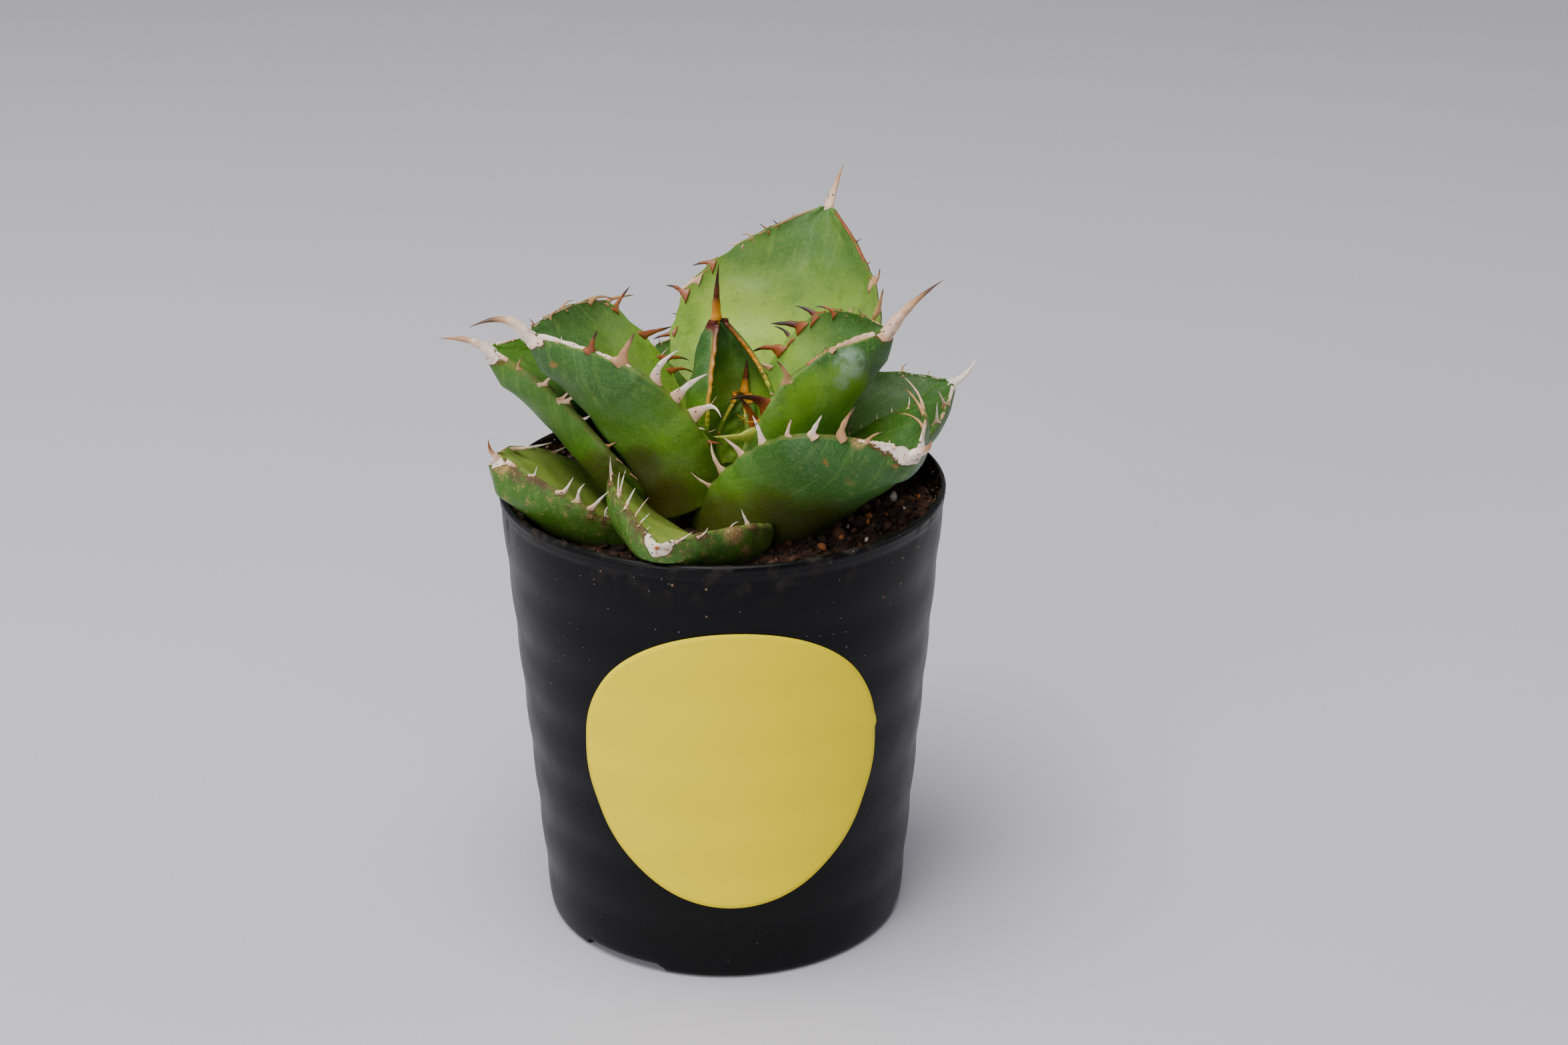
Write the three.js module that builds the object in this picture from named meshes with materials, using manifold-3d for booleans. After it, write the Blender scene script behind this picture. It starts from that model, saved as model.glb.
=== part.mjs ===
// A young agave in a round black nursery pot, in millimetres, +Z up.
// The origin is the middle of the circle that the pot stands on. The front, with the round label,
// faces -Y.
import * as THREE from 'three';
import { mergeVertices } from 'three/addons/utils/BufferGeometryUtils.js';
import Module from 'manifold-3d';

// ---- Driving dimensions, in millimetres and degrees ----

const GAP = 0.3;                    // clearance kept between pieces that touch
const MERGE = 0.001;                // corners nearer than this become one
const GRAIN = 0.06;                 // detail smaller than this is dropped where leaves are cut
const FINE_GRAIN = 0.02;            // and this, once the teeth are on
const TOUCH_VOLUME = 1e-6;          // pieces that share less than this don't touch
const ROUND_SIDES = 36;             // facets round the pot and the soil

const POT_HEIGHT = 94.3;
const POT_TOP_RADIUS = 45;          // outside, at the rim
const POT_FOOT_RADIUS = 37.3;       // outside, on the ground
const WALL = 1.1;
const BEAD_HEIGHT = 2.2;            // rolled bead at the rim
const BEAD_SLOPE = 0.5;             // height of the step under the bead
const RIM_CHAMFER = 0.5;            // across the top of the bead
const RIM_CHAMFER_DROP = 0.4;       // and down its side
const RING_SPACING = 13.5;          // faint moulding rings in the wall
const RING_DEPTH = 0.25;
const RING_COUNT = 6;
const RING_VALLEY = 0.42;           // from a ring's crest to its valley, as a share of the spacing
const FOOT_ROUND = 1.6;             // rounded bottom edge
const FLOOR_RISE = 3.4;             // the floor stands above the foot ring
const FLOOR_THICK = 1.4;
const FOOT_RING_WIDTH = 3.2;
const NOTCH_COUNT = 3;
const NOTCH_ANGLE = -125.5;         // first notch, counter-clockwise from +X
const NOTCH_WIDTH = 20;
const NOTCH_HEIGHT = 2.3;
const NOTCH_REACH = 20;             // length of the cut across the foot ring
const DRAIN_COUNT = 6;
const DRAIN_RADIUS = 3.2;
const DRAIN_CIRCLE = 22;
const DRAIN_SIDES = 8;

const SOIL_TOP = 88.6;
const SOIL_RELIEF = 1.1;            // height of the crumbs on top
const SOIL_RINGS = 7;
const CRUMB_WAVES = { x: 0.9, y: 1.1, sway: [1.3, 0.35], drift: [1.7, 0.3] };  // radians a mm
const STEM_RADIUS = 7;
const STEM_FOOT_RADIUS = 5;
const STEM_FOOT = 58;               // height of the stem's lower end in the soil
const STEM_SHOULDER = 82.6;         // where it starts to narrow
const STEM_TOP = 93;
const STEM_TOP_SHARE = 0.8;         // radius at the top, as a share of the widest
const STEM_DOME = 1;
const STEM_SIDES = 12;
const HOLE_FLOOR = 76;              // plain hole in the soil that the stem and the leaves' feet fill
const HOLE_RADIUS = 17;
const HOLE_WIDE_BELOW = 3;          // the hole has its full width from here under the soil's top
const HOLE_OVER = 5;
const HOLE_SIDES = 16;

const LABEL_RADIUS = 31.4;
const LABEL_THICK = 0.4;
const LABEL_OFF_WALL = 0.5;
const LABEL_HEIGHT = 48.8;          // middle of the label, measured up the slanted wall
const LABEL_ANGLE = -87.7;          // counter-clockwise from +X
const LABEL_RINGS = 3;
const LABEL_SIDES = 28;

const LEAF_STEPS = 7;               // rows of facets along a leaf
const LEAF_ROWS = 6;                // facets across a leaf
const MIDRIB_STEPS = 24;
const LEAF_FOOT_RADIUS = 6;         // where the leaves leave the stem
const LEAF_EDGE = 0.8;              // thickness at the edge
const TIP_HALF_WIDTH = 1.5;
const HORN_RADIUS = 0.75;           // horny edge, where it fades out
const HORN_TIP_RADIUS = 1.25;       // horny edge, at the foot of the end spine
const HORN_STEPS = 4;
const HORN_LEAD = 0.015;            // the flesh draws in this far before the horny edge starts
const HORN_STEP = 0.001;            // over this length of the leaf
const TOOTH_ON_HORN = 0.04;         // teeth from here past the horny edge's start grow from it
const FLESH_END = 0.945;            // where along the leaf its flesh ends inside the horny tip
const HORN_END = 0.965;             // where the horny edge turns round the tip
const SPINE_BACK = 1.1;             // how far the end spine reaches back into the horny tip
const SPINE_SIDES = 5;
const SPINE_FORM = [[-1, 1.1], [0, 1.3], [0.4, 0.8], [0.75, 0.42]];  // share of length, radius
const HORN_END_RADIUS = 0.3;        // where the horny edge runs out
const TOOTH_ROOT = 0.5;             // how far a tooth is sunk into what it grows from
const TOOTH_REACH = [0.24, 0.93];   // where along the leaf its teeth start and end
const TOOTH_SHIFT = 0.5;            // seeded shift along the edge, in steps between teeth
const TOOTH_LENGTHS = [0.75, 1.15]; // seeded share of the length
const TOOTH_LEANS = [-30, 35];      // seeded lean along the edge, in degrees
const TOOTH_BENDS = [-0.5, 0.5];    // seeded bend along the edge, as a share of the length
const TOOTH_LIFTS = [-0.1, 0.5];    // seeded lift out of the leaf's face
const TOOTH_CURL = 0.25;            // every tooth curls up by this share of its length
const TOOTH_HALF_BASE = 0.26;       // half width of the foot, as a share of the length
const TOOTH_MIDDLE = 0.45;          // where a tooth's shaft starts, as a share of the length
const TOOTH_HALF_SHAFT = 0.12;      // half width of the shaft there
const TOOTH_HALF_THICK = 0.55;
const TOOTH_SECTION = [[1, -0.6], [0, 1], [-1, -0.6]];  // shares of its half width and thickness
const TOOTH_SHORTEST = 0.55;        // length of the first and last, as a share of the longest
const RIGHT_EDGE_DRAWS = 40;        // the right edge's draws start here, and each value's own after
const LENGTH_DRAWS = 100;
const LEAN_DRAWS = 200;
const BEND_DRAWS = 300;
const LIFT_DRAWS = 400;

// One row for each leaf, from the furled leaf of the bud outwards.
// azimuth: counter-clockwise from +X. rise0, rise1: climb of the midrib at its foot and its tip.
// swerve: turn of the midrib to the left along its length. roll: tilt about the midrib.
// foot: height of the midrib's foot. cup: half the angle that the gutter wraps.
// widest: where along the leaf it is widest. taper: fullness of the tip.
// keel0, keel1: thickness at the foot and the tip. horn: where the horny edge starts.
// teeth: teeth on each edge. tooth: length of the longest. seed: draws their lengths and bends.
const LEAVES = [
  { azimuth: 59, swerve: 0, rise0: 82.3, rise1: 81.8, roll: 0, foot: 93.7, length: 16.6,
    halfWidth: 5, cup: 100, widest: 0.4, taper: 1.5, keel0: 2.6, keel1: 1.4, horn: 0.62,
    spine: 8, spineTurn: -13, spineRise: 0, teeth: 1, tooth: 3.2, seed: 1 },
  { azimuth: 92.6, swerve: 8.6, rise0: 81.5, rise1: 87.2, roll: 23, foot: 95.4, length: 30,
    halfWidth: 12.1, cup: 97.6, widest: 0.45, taper: 1.6, keel0: 4, keel1: 2, horn: 0.36,
    spine: 12.1, spineTurn: 6.8, spineRise: 9.8, teeth: 4, tooth: 3.6, seed: 2 },
  { azimuth: 57, swerve: 0.6, rise0: 47.6, rise1: 58, roll: 2.4, foot: 94.7, length: 58.5,
    halfWidth: 23.6, cup: 31, widest: 0.5, taper: 1.8, keel0: 9, keel1: 3.2, horn: 0.6,
    spine: 9.4, spineTurn: -1.9, spineRise: -6.4, teeth: 9, tooth: 5, seed: 3 },
  { azimuth: -5, swerve: -12, rise0: 56.7, rise1: 47.7, roll: 4.5, foot: 93, length: 43.9,
    halfWidth: 19.3, cup: 65, widest: 0.6, taper: 2, keel0: 8, keel1: 3.2, horn: 0.7,
    spine: 15.4, spineTurn: 5.5, spineRise: -2, teeth: 8, tooth: 6, seed: 4 },
  { azimuth: 194.1, swerve: -1.6, rise0: 65.5, rise1: 25.9, roll: -2.5, foot: 95.3,
    length: 47.6, halfWidth: 21.4, cup: 46.4, widest: 0.66, taper: 1.34, keel0: 13, keel1: 3.6,
    horn: 0.66, spine: 11.6, spineTurn: 6, spineRise: -12.9, teeth: 8, tooth: 7, seed: 5 },
  { azimuth: 130, swerve: -4, rise0: 20, rise1: 30, roll: -6, foot: 87, length: 49,
    halfWidth: 16, cup: 46, widest: 0.55, taper: 1.8, keel0: 8, keel1: 3.2, horn: 0.76,
    spine: 7, spineTurn: 0, spineRise: 4, teeth: 8, tooth: 5, seed: 6 },
  { azimuth: 162.9, swerve: 27.4, rise0: 51.8, rise1: 25, roll: -16.2, foot: 88.9, length: 52.8,
    halfWidth: 19, cup: 40, widest: 0.42, taper: 1.4, keel0: 11.5, keel1: 4.6, horn: 0.84,
    spine: 10, spineTurn: 4.3, spineRise: -8.4, teeth: 8, tooth: 4.6, seed: 7 },
  { azimuth: -42, swerve: -1, rise0: 45, rise1: 22.6, roll: -6.2, foot: 84, length: 52.6,
    halfWidth: 21.2, cup: 50, widest: 0.7, taper: 1.8, keel0: 11, keel1: 3.6, horn: 0.84,
    spine: 8, spineTurn: -26, spineRise: 13.8, teeth: 8, tooth: 6, seed: 8 },
  { azimuth: 29, swerve: 1.7, rise0: 11.4, rise1: 22.6, roll: 7.9, foot: 89.5, length: 52,
    halfWidth: 19.4, cup: 38, widest: 0.5, taper: 1.8, keel0: 8, keel1: 3.2, horn: 0.72,
    spine: 9, spineTurn: 14.9, spineRise: 2.1, teeth: 8, tooth: 4.6, seed: 9 },
  { azimuth: 97, swerve: 4, rise0: 24, rise1: 30, roll: 3, foot: 88, length: 47,
    halfWidth: 19.5, cup: 42, widest: 0.52, taper: 1.8, keel0: 8, keel1: 3.2, horn: 0.74,
    spine: 5, spineTurn: 4, spineRise: 6, teeth: 8, tooth: 5, seed: 10 },
  { azimuth: 249.6, swerve: 12.4, rise0: 32, rise1: 13, roll: -12, foot: 82.5, length: 44.8,
    halfWidth: 18, cup: 46, widest: 0.5, taper: 1.6, keel0: 9, keel1: 4, horn: 0.8,
    spine: 4, spineTurn: 10.9, spineRise: 0, teeth: 7, tooth: 3.4, seed: 11 },
  { azimuth: 194.9, swerve: 15, rise0: 19, rise1: 42, roll: -5, foot: 82.5, length: 47.9,
    halfWidth: 15.5, cup: 20, widest: 0.6, taper: 1.8, keel0: 12, keel1: 5, horn: 0.8,
    spine: 4.1, spineTurn: 8.3, spineRise: 25, teeth: 7, tooth: 3.6, seed: 12 },
  { azimuth: 68, swerve: -6, rise0: 14, rise1: 24, roll: 0, foot: 84, length: 46,
    halfWidth: 15.5, cup: 34, widest: 0.55, taper: 1.7, keel0: 7, keel1: 3, horn: 0.7,
    spine: 6, spineTurn: 0, spineRise: 8, teeth: 6, tooth: 3.8, seed: 13 },
];
const LEAF_FOOT_SHARE = 0.62;       // half width at the foot, as a share of the widest

const BUD_LEAVES = 2;

const FINISHES = {
  pot: { color: 0x1b1b1c, roughness: 0.45 },
  soil: { color: 0x3a2c22, roughness: 0.95 },
  stem: { color: 0x9aa06a, roughness: 0.7 },
  leaf: { color: 0x4d8743, roughness: 0.5 },
  bud: { color: 0x6f9a4f, roughness: 0.5 },
  horn: { color: 0xcdb79c, roughness: 0.6 },
  label: { color: 0xe6da3c, roughness: 0.4 },
};

// ---- Solids ----

const wasm = await Module();
wasm.setup();

function solidFrom(geometry) {
  const bare = geometry.clone();
  bare.deleteAttribute('normal');
  bare.deleteAttribute('uv');
  const merged = mergeVertices(bare, MERGE);
  return new wasm.Manifold(new wasm.Mesh({
    numProp: 3,
    vertProperties: merged.attributes.position.array,
    triVerts: new Uint32Array(merged.index.array),
  }));
}

function geometryFrom(solid) {
  const mesh = solid.getMesh();
  const geometry = new THREE.BufferGeometry();
  geometry.setAttribute('position', new THREE.BufferAttribute(mesh.vertProperties, 3));
  geometry.setIndex(new THREE.BufferAttribute(mesh.triVerts, 1));
  const flat = geometry.toNonIndexed();
  flat.computeVertexNormals();
  return flat;
}

function solidFromFaces(points, faces) {
  const geometry = new THREE.BufferGeometry();
  geometry.setAttribute('position', new THREE.Float32BufferAttribute(points.flatMap(p => p.toArray()), 3));
  geometry.setIndex(faces.flat());
  return solidFrom(geometry);
}

function unionOf(solids) {
  return solids.reduce((sum, solid) => sum.add(solid));
}

function largestBody(solid) {
  const bodies = solid.decompose();
  return bodies.reduce((best, body) => (body.volume() > best.volume() ? body : best));
}

// What a cut leaves: slivers thinner than the grain are smoothed away and loose scraps dropped.
function cleaned(solid, grain) {
  return largestBody(solid.simplify(grain));
}

function touches(a, b) {
  return a.intersect(b).volume() > TOUCH_VOLUME;
}

// Rings of points, each with the same count, joined into one closed skin with flat ends.
function skin(rings, closedTip) {
  const size = rings[0].length;
  const points = rings.flat();
  const faces = [];
  for (let i = 0; i + 1 < rings.length; i += 1) {
    for (let j = 0; j < size; j += 1) {
      const a = i * size + j;
      const b = i * size + (j + 1) % size;
      faces.push([a, b, b + size], [a, b + size, a + size]);
    }
  }
  faces.push(...endFaces(size).map(([a, b, c]) => [a, c, b]));
  const last = (rings.length - 1) * size;
  if (closedTip) {
    points.push(closedTip);
    for (let j = 0; j < size; j += 1) {
      faces.push([last + j, last + (j + 1) % size, points.length - 1]);
    }
  } else {
    faces.push(...endFaces(size).map(face => face.map(k => k + last)));
  }
  return solidFromFaces(points, faces);
}

// Triangles that fill a ring in a zigzag from its first and last point, as suits a crescent.
function endFaces(size) {
  const faces = [];
  for (let a = 0, b = size - 1; a + 1 < b; a += 1) {
    faces.push([a, a + 1, b]);
    if (a + 2 < b) {
      faces.push([a + 1, b - 1, b]);
    }
    b -= 1;
  }
  return faces;
}

// A repeatable number from 0 to 1 for the draw-th use of a seed.
function chance(seed, draw) {
  const wave = Math.sin(seed * 78.233 + draw * 12.9898) * 43758.5453;
  return wave - Math.floor(wave);
}

const radians = THREE.MathUtils.degToRad;
const lerp = THREE.MathUtils.lerp;

// ---- The leaf's form ----

function direction(turn, climb) {
  return new THREE.Vector3(
    Math.cos(climb) * Math.cos(turn),
    Math.cos(climb) * Math.sin(turn),
    Math.sin(climb),
  );
}

function headingAt(leaf, t) {
  return {
    turn: radians(leaf.azimuth + leaf.swerve * t),
    climb: radians(lerp(leaf.rise0, leaf.rise1, t)),
  };
}

function midrib(leaf) {
  const turn = radians(leaf.azimuth);
  const at = new THREE.Vector3(
    LEAF_FOOT_RADIUS * Math.cos(turn),
    LEAF_FOOT_RADIUS * Math.sin(turn),
    leaf.foot,
  );
  const points = [at.clone()];
  for (let i = 0; i < MIDRIB_STEPS; i += 1) {
    const heading = headingAt(leaf, (i + 0.5) / MIDRIB_STEPS);
    at.addScaledVector(direction(heading.turn, heading.climb), leaf.length / MIDRIB_STEPS);
    points.push(at.clone());
  }
  return points;
}

// The place on the midrib and the leaf's own directions there: along, to its left and up from
// its upper face.
function frameAt(leaf, t) {
  const share = t * MIDRIB_STEPS;
  const i = Math.min(Math.floor(share), MIDRIB_STEPS - 1);
  const at = leaf.midrib[i].clone().lerp(leaf.midrib[i + 1], share - i);
  const heading = headingAt(leaf, t);
  const along = direction(heading.turn, heading.climb);
  const left = new THREE.Vector3(-Math.sin(heading.turn), Math.cos(heading.turn), 0);
  left.applyAxisAngle(along, radians(leaf.roll));
  const up = along.clone().cross(left);
  return { at, along, left, up };
}

function halfWidthAt(leaf, t) {
  const swell = Math.sin(Math.PI / 2 * Math.min(t / leaf.widest, 1));
  const inner = LEAF_FOOT_SHARE + (1 - LEAF_FOOT_SHARE) * swell;
  const past = Math.max((t - leaf.widest) / (1 - leaf.widest), 0);
  const share = t < leaf.widest ? inner : 1 - past ** leaf.taper;
  return Math.max(leaf.halfWidth * share, TIP_HALF_WIDTH);
}

// A point of the upper face. v runs from -1 at the right edge to 1 at the left edge.
// outward is the direction across the leaf there, and up the face's own normal.
function upperFace(leaf, t, v, grow) {
  const frame = frameAt(leaf, t);
  const width = halfWidthAt(leaf, t) + grow;
  const cup = radians(leaf.cup);
  const angle = cup * v;
  const point = frame.at.clone()
    .addScaledVector(frame.left, width * Math.sin(angle) / cup)
    .addScaledVector(frame.up, width * (1 - Math.cos(angle)) / cup);
  const up = frame.up.clone().multiplyScalar(Math.cos(angle))
    .addScaledVector(frame.left, -Math.sin(angle));
  const outward = frame.left.clone().multiplyScalar(Math.cos(angle))
    .addScaledVector(frame.up, Math.sin(angle));
  return { point, up, outward, along: frame.along };
}

function thicknessAt(leaf, t, v) {
  const keel = lerp(leaf.keel0, leaf.keel1, t) * Math.min(1, (1 - t) * 6 + 0.35);
  return LEAF_EDGE + keel * (1 - Math.abs(v) ** 2.2) ** 0.8;
}

function hornRadiusAt(leaf, t) {
  return lerp(HORN_RADIUS, HORN_TIP_RADIUS, (t - leaf.horn) / (1 - leaf.horn));
}

// Beside the horny edge the flesh is narrower by the edge's own radius and the gap to it.
function fleshInset(leaf, t) {
  return t < leaf.horn - HORN_LEAD ? 0 : hornRadiusAt(leaf, Math.max(t, leaf.horn)) + GAP;
}

// The flesh, a closed ring of points at each station: the upper face and then the lower one.
function bladeSolid(leaf, grow) {
  const rings = [];
  const inset = leaf.horn - HORN_LEAD;
  const stations = [inset - HORN_STEP, inset + HORN_STEP];
  for (let i = 0; i <= LEAF_STEPS; i += 1) {
    stations.push(FLESH_END * i / LEAF_STEPS);
  }
  stations.sort((a, b) => a - b);
  for (const t of stations) {
    const ring = [];
    for (let j = 0; j <= LEAF_ROWS; j += 1) {
      const v = 1 - 2 * j / LEAF_ROWS;
      const face = upperFace(leaf, t, v, grow - fleshInset(leaf, t));
      ring.push(face.point.addScaledVector(face.up, grow));
    }
    for (let j = LEAF_ROWS; j >= 0; j -= 1) {
      const v = 1 - 2 * j / LEAF_ROWS;
      const face = upperFace(leaf, t, v, grow - fleshInset(leaf, t));
      ring.push(face.point.addScaledVector(face.up, -grow - thicknessAt(leaf, t, v)));
    }
    rings.push(ring);
  }
  return skin(rings);
}

// The horny edge runs up the left edge, round the tip and down the right edge.
function hornBand(leaf, grow) {
  const places = [];
  for (let i = 0; i < HORN_STEPS; i += 1) {
    places.push({ t: lerp(leaf.horn, HORN_END, i / (HORN_STEPS - 1)), v: 1 });
  }
  places.push({ t: 1, v: 0 });
  for (let i = HORN_STEPS - 1; i >= 0; i -= 1) {
    places.push({ t: lerp(leaf.horn, HORN_END, i / (HORN_STEPS - 1)), v: -1 });
  }
  const rings = places.map(({ t, v }, i) => {
    const face = upperFace(leaf, t, v, 0);
    const outward = v === 0 ? face.along : face.outward.multiplyScalar(v);
    const ends = i === 0 || i === places.length - 1;
    const radius = (ends ? HORN_END_RADIUS : hornRadiusAt(leaf, t)) + grow;
    const middle = face.point.addScaledVector(face.up, -LEAF_EDGE / 2);
    return [[1, 0], [0, 1], [-1, 0], [0, -1]].map(([across, above]) => middle.clone()
      .addScaledVector(outward, across * radius)
      .addScaledVector(face.up, above * radius));
  });
  return skin(rings);
}

// The end spine leaves the leaf's tip and bends to its own heading.
function endSpine(leaf, grow) {
  const tip = upperFace(leaf, 1, 0, 0);
  const heading = headingAt(leaf, 1);
  const aim = direction(heading.turn + radians(leaf.spineTurn), heading.climb + radians(leaf.spineRise));
  const root = tip.point.clone().addScaledVector(tip.up, -LEAF_EDGE / 2);
  const back = root.clone().addScaledVector(tip.along, -SPINE_BACK);
  const side = aim.clone().cross(tip.up).normalize();
  const up = side.clone().cross(aim).normalize();
  const rings = SPINE_FORM.map(([share, radius]) => {
    const middle = share < 0 ? back : root.clone().addScaledVector(aim, leaf.spine * share);
    return Array.from({ length: SPINE_SIDES }, (_, k) => {
      const angle = 2 * Math.PI * k / SPINE_SIDES;
      return middle.clone()
        .addScaledVector(side, Math.cos(angle) * (radius + grow))
        .addScaledVector(up, -Math.sin(angle) * (radius + grow));
    });
  });
  const point = root.clone().addScaledVector(aim, leaf.spine + grow);
  return skin(rings, point);
}

function hornSolid(leaf, grow) {
  return hornBand(leaf, grow).add(endSpine(leaf, grow));
}

// Each edge has its teeth at even steps with a small seeded shift, longest past the middle, and
// each leans and bends its own way.
function teethOf(leaf, edge) {
  const drawn = (range, draw) => lerp(range[0], range[1], chance(leaf.seed, draw));
  return Array.from({ length: leaf.teeth }, (_, k) => {
    const draw = k + (edge > 0 ? 0 : RIGHT_EDGE_DRAWS);
    const shift = TOOTH_SHIFT * (chance(leaf.seed, draw) - 0.5);
    const share = (k + 0.5 + shift) / leaf.teeth;
    const size = leaf.tooth * lerp(TOOTH_SHORTEST, 1, Math.sin(Math.PI * share));
    return {
      edge,
      t: lerp(TOOTH_REACH[0], TOOTH_REACH[1], share),
      length: size * drawn(TOOTH_LENGTHS, draw + LENGTH_DRAWS),
      lean: radians(drawn(TOOTH_LEANS, draw + LEAN_DRAWS)),
      bend: drawn(TOOTH_BENDS, draw + BEND_DRAWS),
      lift: drawn(TOOTH_LIFTS, draw + LIFT_DRAWS),
    };
  });
}

// A tooth is a three-sided spike, wide along the edge at its foot, that bends towards its tip.
function toothSolid(leaf, tooth, grow) {
  const face = upperFace(leaf, tooth.t, tooth.edge, 0);
  const outward = face.outward.multiplyScalar(tooth.edge);
  const middle = face.point.addScaledVector(face.up, -LEAF_EDGE / 2);
  const aim = outward.clone().multiplyScalar(Math.cos(tooth.lean))
    .addScaledVector(face.along, Math.sin(tooth.lean))
    .addScaledVector(face.up, tooth.lift)
    .normalize();
  const bendTo = face.along.clone().multiplyScalar(tooth.bend).addScaledVector(face.up, TOOTH_CURL);
  const placeAt = share => middle.clone()
    .addScaledVector(aim, tooth.length * share - TOOTH_ROOT * (1 - share))
    .addScaledVector(bendTo, tooth.length * share * share);
  const wide = face.along;
  const thin = wide.clone().cross(outward).normalize();
  const ringAt = (share, halfWidth) => TOOTH_SECTION.map(([a, b]) => placeAt(share)
    .addScaledVector(wide, a * (halfWidth + grow))
    .addScaledVector(thin, tooth.edge * b * (TOOTH_HALF_THICK * (1 - share / 2) + grow)));
  const rings = [
    ringAt(0, TOOTH_HALF_BASE * tooth.length + HORN_END_RADIUS),
    ringAt(TOOTH_MIDDLE, TOOTH_HALF_SHAFT * tooth.length),
  ];
  const tip = placeAt(1).addScaledVector(aim, grow);
  const solid = skin(rings, tip);
  return solid.volume() > 0 ? solid : skin(rings.map(ring => ring.reverse()), tip);
}

// ---- Pot, soil, stem and label ----

function lathe(profile, sides) {
  const geometry = new THREE.LatheGeometry(profile.map(([r, z]) => new THREE.Vector2(r, z)), sides);
  geometry.rotateX(Math.PI / 2);
  return solidFrom(geometry);
}

// Radius outside the wall, inside it, and of the room that it leaves free of its facets.
function wallRadius(z) {
  return lerp(POT_FOOT_RADIUS, POT_TOP_RADIUS, z / POT_HEIGHT);
}

function insideRadius(z) {
  return wallRadius(z) - WALL - RING_DEPTH;
}

function roomRadius(z) {
  return insideRadius(z) * Math.cos(Math.PI / ROUND_SIDES) - GAP;
}

function wallProfile() {
  const points = [];
  const first = POT_HEIGHT - BEAD_HEIGHT - RING_SPACING * RING_COUNT;
  for (let i = 0; i < RING_COUNT; i += 1) {
    const crest = first + RING_SPACING * (i + 0.5);
    points.push([wallRadius(crest), crest]);
    const valley = crest + RING_SPACING * RING_VALLEY;
    points.push([wallRadius(valley) - RING_DEPTH, valley]);
  }
  return points;
}

function cylinderSolid(radius, height, sides, x, y, z) {
  const geometry = new THREE.CylinderGeometry(radius, radius, height, sides);
  geometry.rotateX(Math.PI / 2);
  geometry.translate(x, y, z);
  return solidFrom(geometry);
}

function boxSolid(width, depth, height, x, y, z, turn) {
  const geometry = new THREE.BoxGeometry(width, depth, height);
  geometry.translate(x, y, z);
  geometry.rotateZ(turn);
  return solidFrom(geometry);
}

function makePot() {
  const floor = FLOOR_RISE + FLOOR_THICK;
  const footInner = POT_FOOT_RADIUS - FOOT_RING_WIDTH;
  const beadFoot = POT_HEIGHT - BEAD_HEIGHT;
  const profile = [
    [0, FLOOR_RISE],
    [footInner, FLOOR_RISE],
    [footInner, 0],
    [POT_FOOT_RADIUS - FOOT_ROUND, 0],
    [wallRadius(FOOT_ROUND), FOOT_ROUND],
    ...wallProfile(),
    [wallRadius(beadFoot) - RING_DEPTH, beadFoot],
    [POT_TOP_RADIUS, beadFoot + BEAD_SLOPE],
    [POT_TOP_RADIUS, POT_HEIGHT - RIM_CHAMFER_DROP],
    [POT_TOP_RADIUS - RIM_CHAMFER, POT_HEIGHT],
    [insideRadius(POT_HEIGHT), POT_HEIGHT],
    [insideRadius(floor), floor],
    [0, floor],
  ];
  let pot = lathe(profile, ROUND_SIDES);
  const drainHeight = 3 * FLOOR_THICK;
  for (let i = 0; i < DRAIN_COUNT; i += 1) {
    const turn = 2 * Math.PI * i / DRAIN_COUNT;
    const x = DRAIN_CIRCLE * Math.cos(turn);
    const y = DRAIN_CIRCLE * Math.sin(turn);
    const z = floor - FLOOR_THICK / 2;
    pot = pot.subtract(cylinderSolid(DRAIN_RADIUS, drainHeight, DRAIN_SIDES, x, y, z));
  }
  for (let i = 0; i < NOTCH_COUNT; i += 1) {
    const turn = radians(NOTCH_ANGLE + 360 * i / NOTCH_COUNT);
    const notch = boxSolid(NOTCH_REACH, NOTCH_WIDTH, 2 * NOTCH_HEIGHT, POT_FOOT_RADIUS, 0, 0, turn);
    pot = pot.subtract(notch);
  }
  return pot;
}

// The room inside the wall, with its own clearance, and everything above the rim.
function potRoom() {
  const floor = FLOOR_RISE + FLOOR_THICK + GAP;
  return lathe([
    [0, floor],
    [roomRadius(floor), floor],
    [roomRadius(POT_HEIGHT), POT_HEIGHT + GAP],
    [2 * POT_TOP_RADIUS, POT_HEIGHT + GAP],
    [2 * POT_TOP_RADIUS, 2 * POT_HEIGHT],
    [0, 2 * POT_HEIGHT],
  ], ROUND_SIDES);
}

function makeSoil() {
  const floor = FLOOR_RISE + FLOOR_THICK + GAP;
  const profile = [[0, floor], [roomRadius(floor), floor]];
  for (let i = 0; i < SOIL_RINGS; i += 1) {
    profile.push([roomRadius(SOIL_TOP) * (1 - i / SOIL_RINGS), SOIL_TOP]);
  }
  profile.push([0, SOIL_TOP]);
  const geometry = new THREE.LatheGeometry(profile.map(([r, z]) => new THREE.Vector2(r, z)), ROUND_SIDES);
  geometry.rotateX(Math.PI / 2);
  const position = geometry.attributes.position;
  for (let i = 0; i < position.count; i += 1) {
    if (position.getZ(i) > SOIL_TOP - GAP) {
      const x = position.getX(i);
      const y = position.getY(i);
      position.setZ(i, SOIL_TOP + crumbHeight(x, y));
    }
  }
  return solidFrom(geometry);
}

function crumbHeight(x, y) {
  const [sway, swayStep] = CRUMB_WAVES.sway;
  const [drift, driftStep] = CRUMB_WAVES.drift;
  const across = Math.sin(x * CRUMB_WAVES.x + sway * Math.sin(y * swayStep));
  const back = Math.sin(y * CRUMB_WAVES.y + drift * Math.sin(x * driftStep));
  return SOIL_RELIEF * (across + back) / 2;
}

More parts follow.
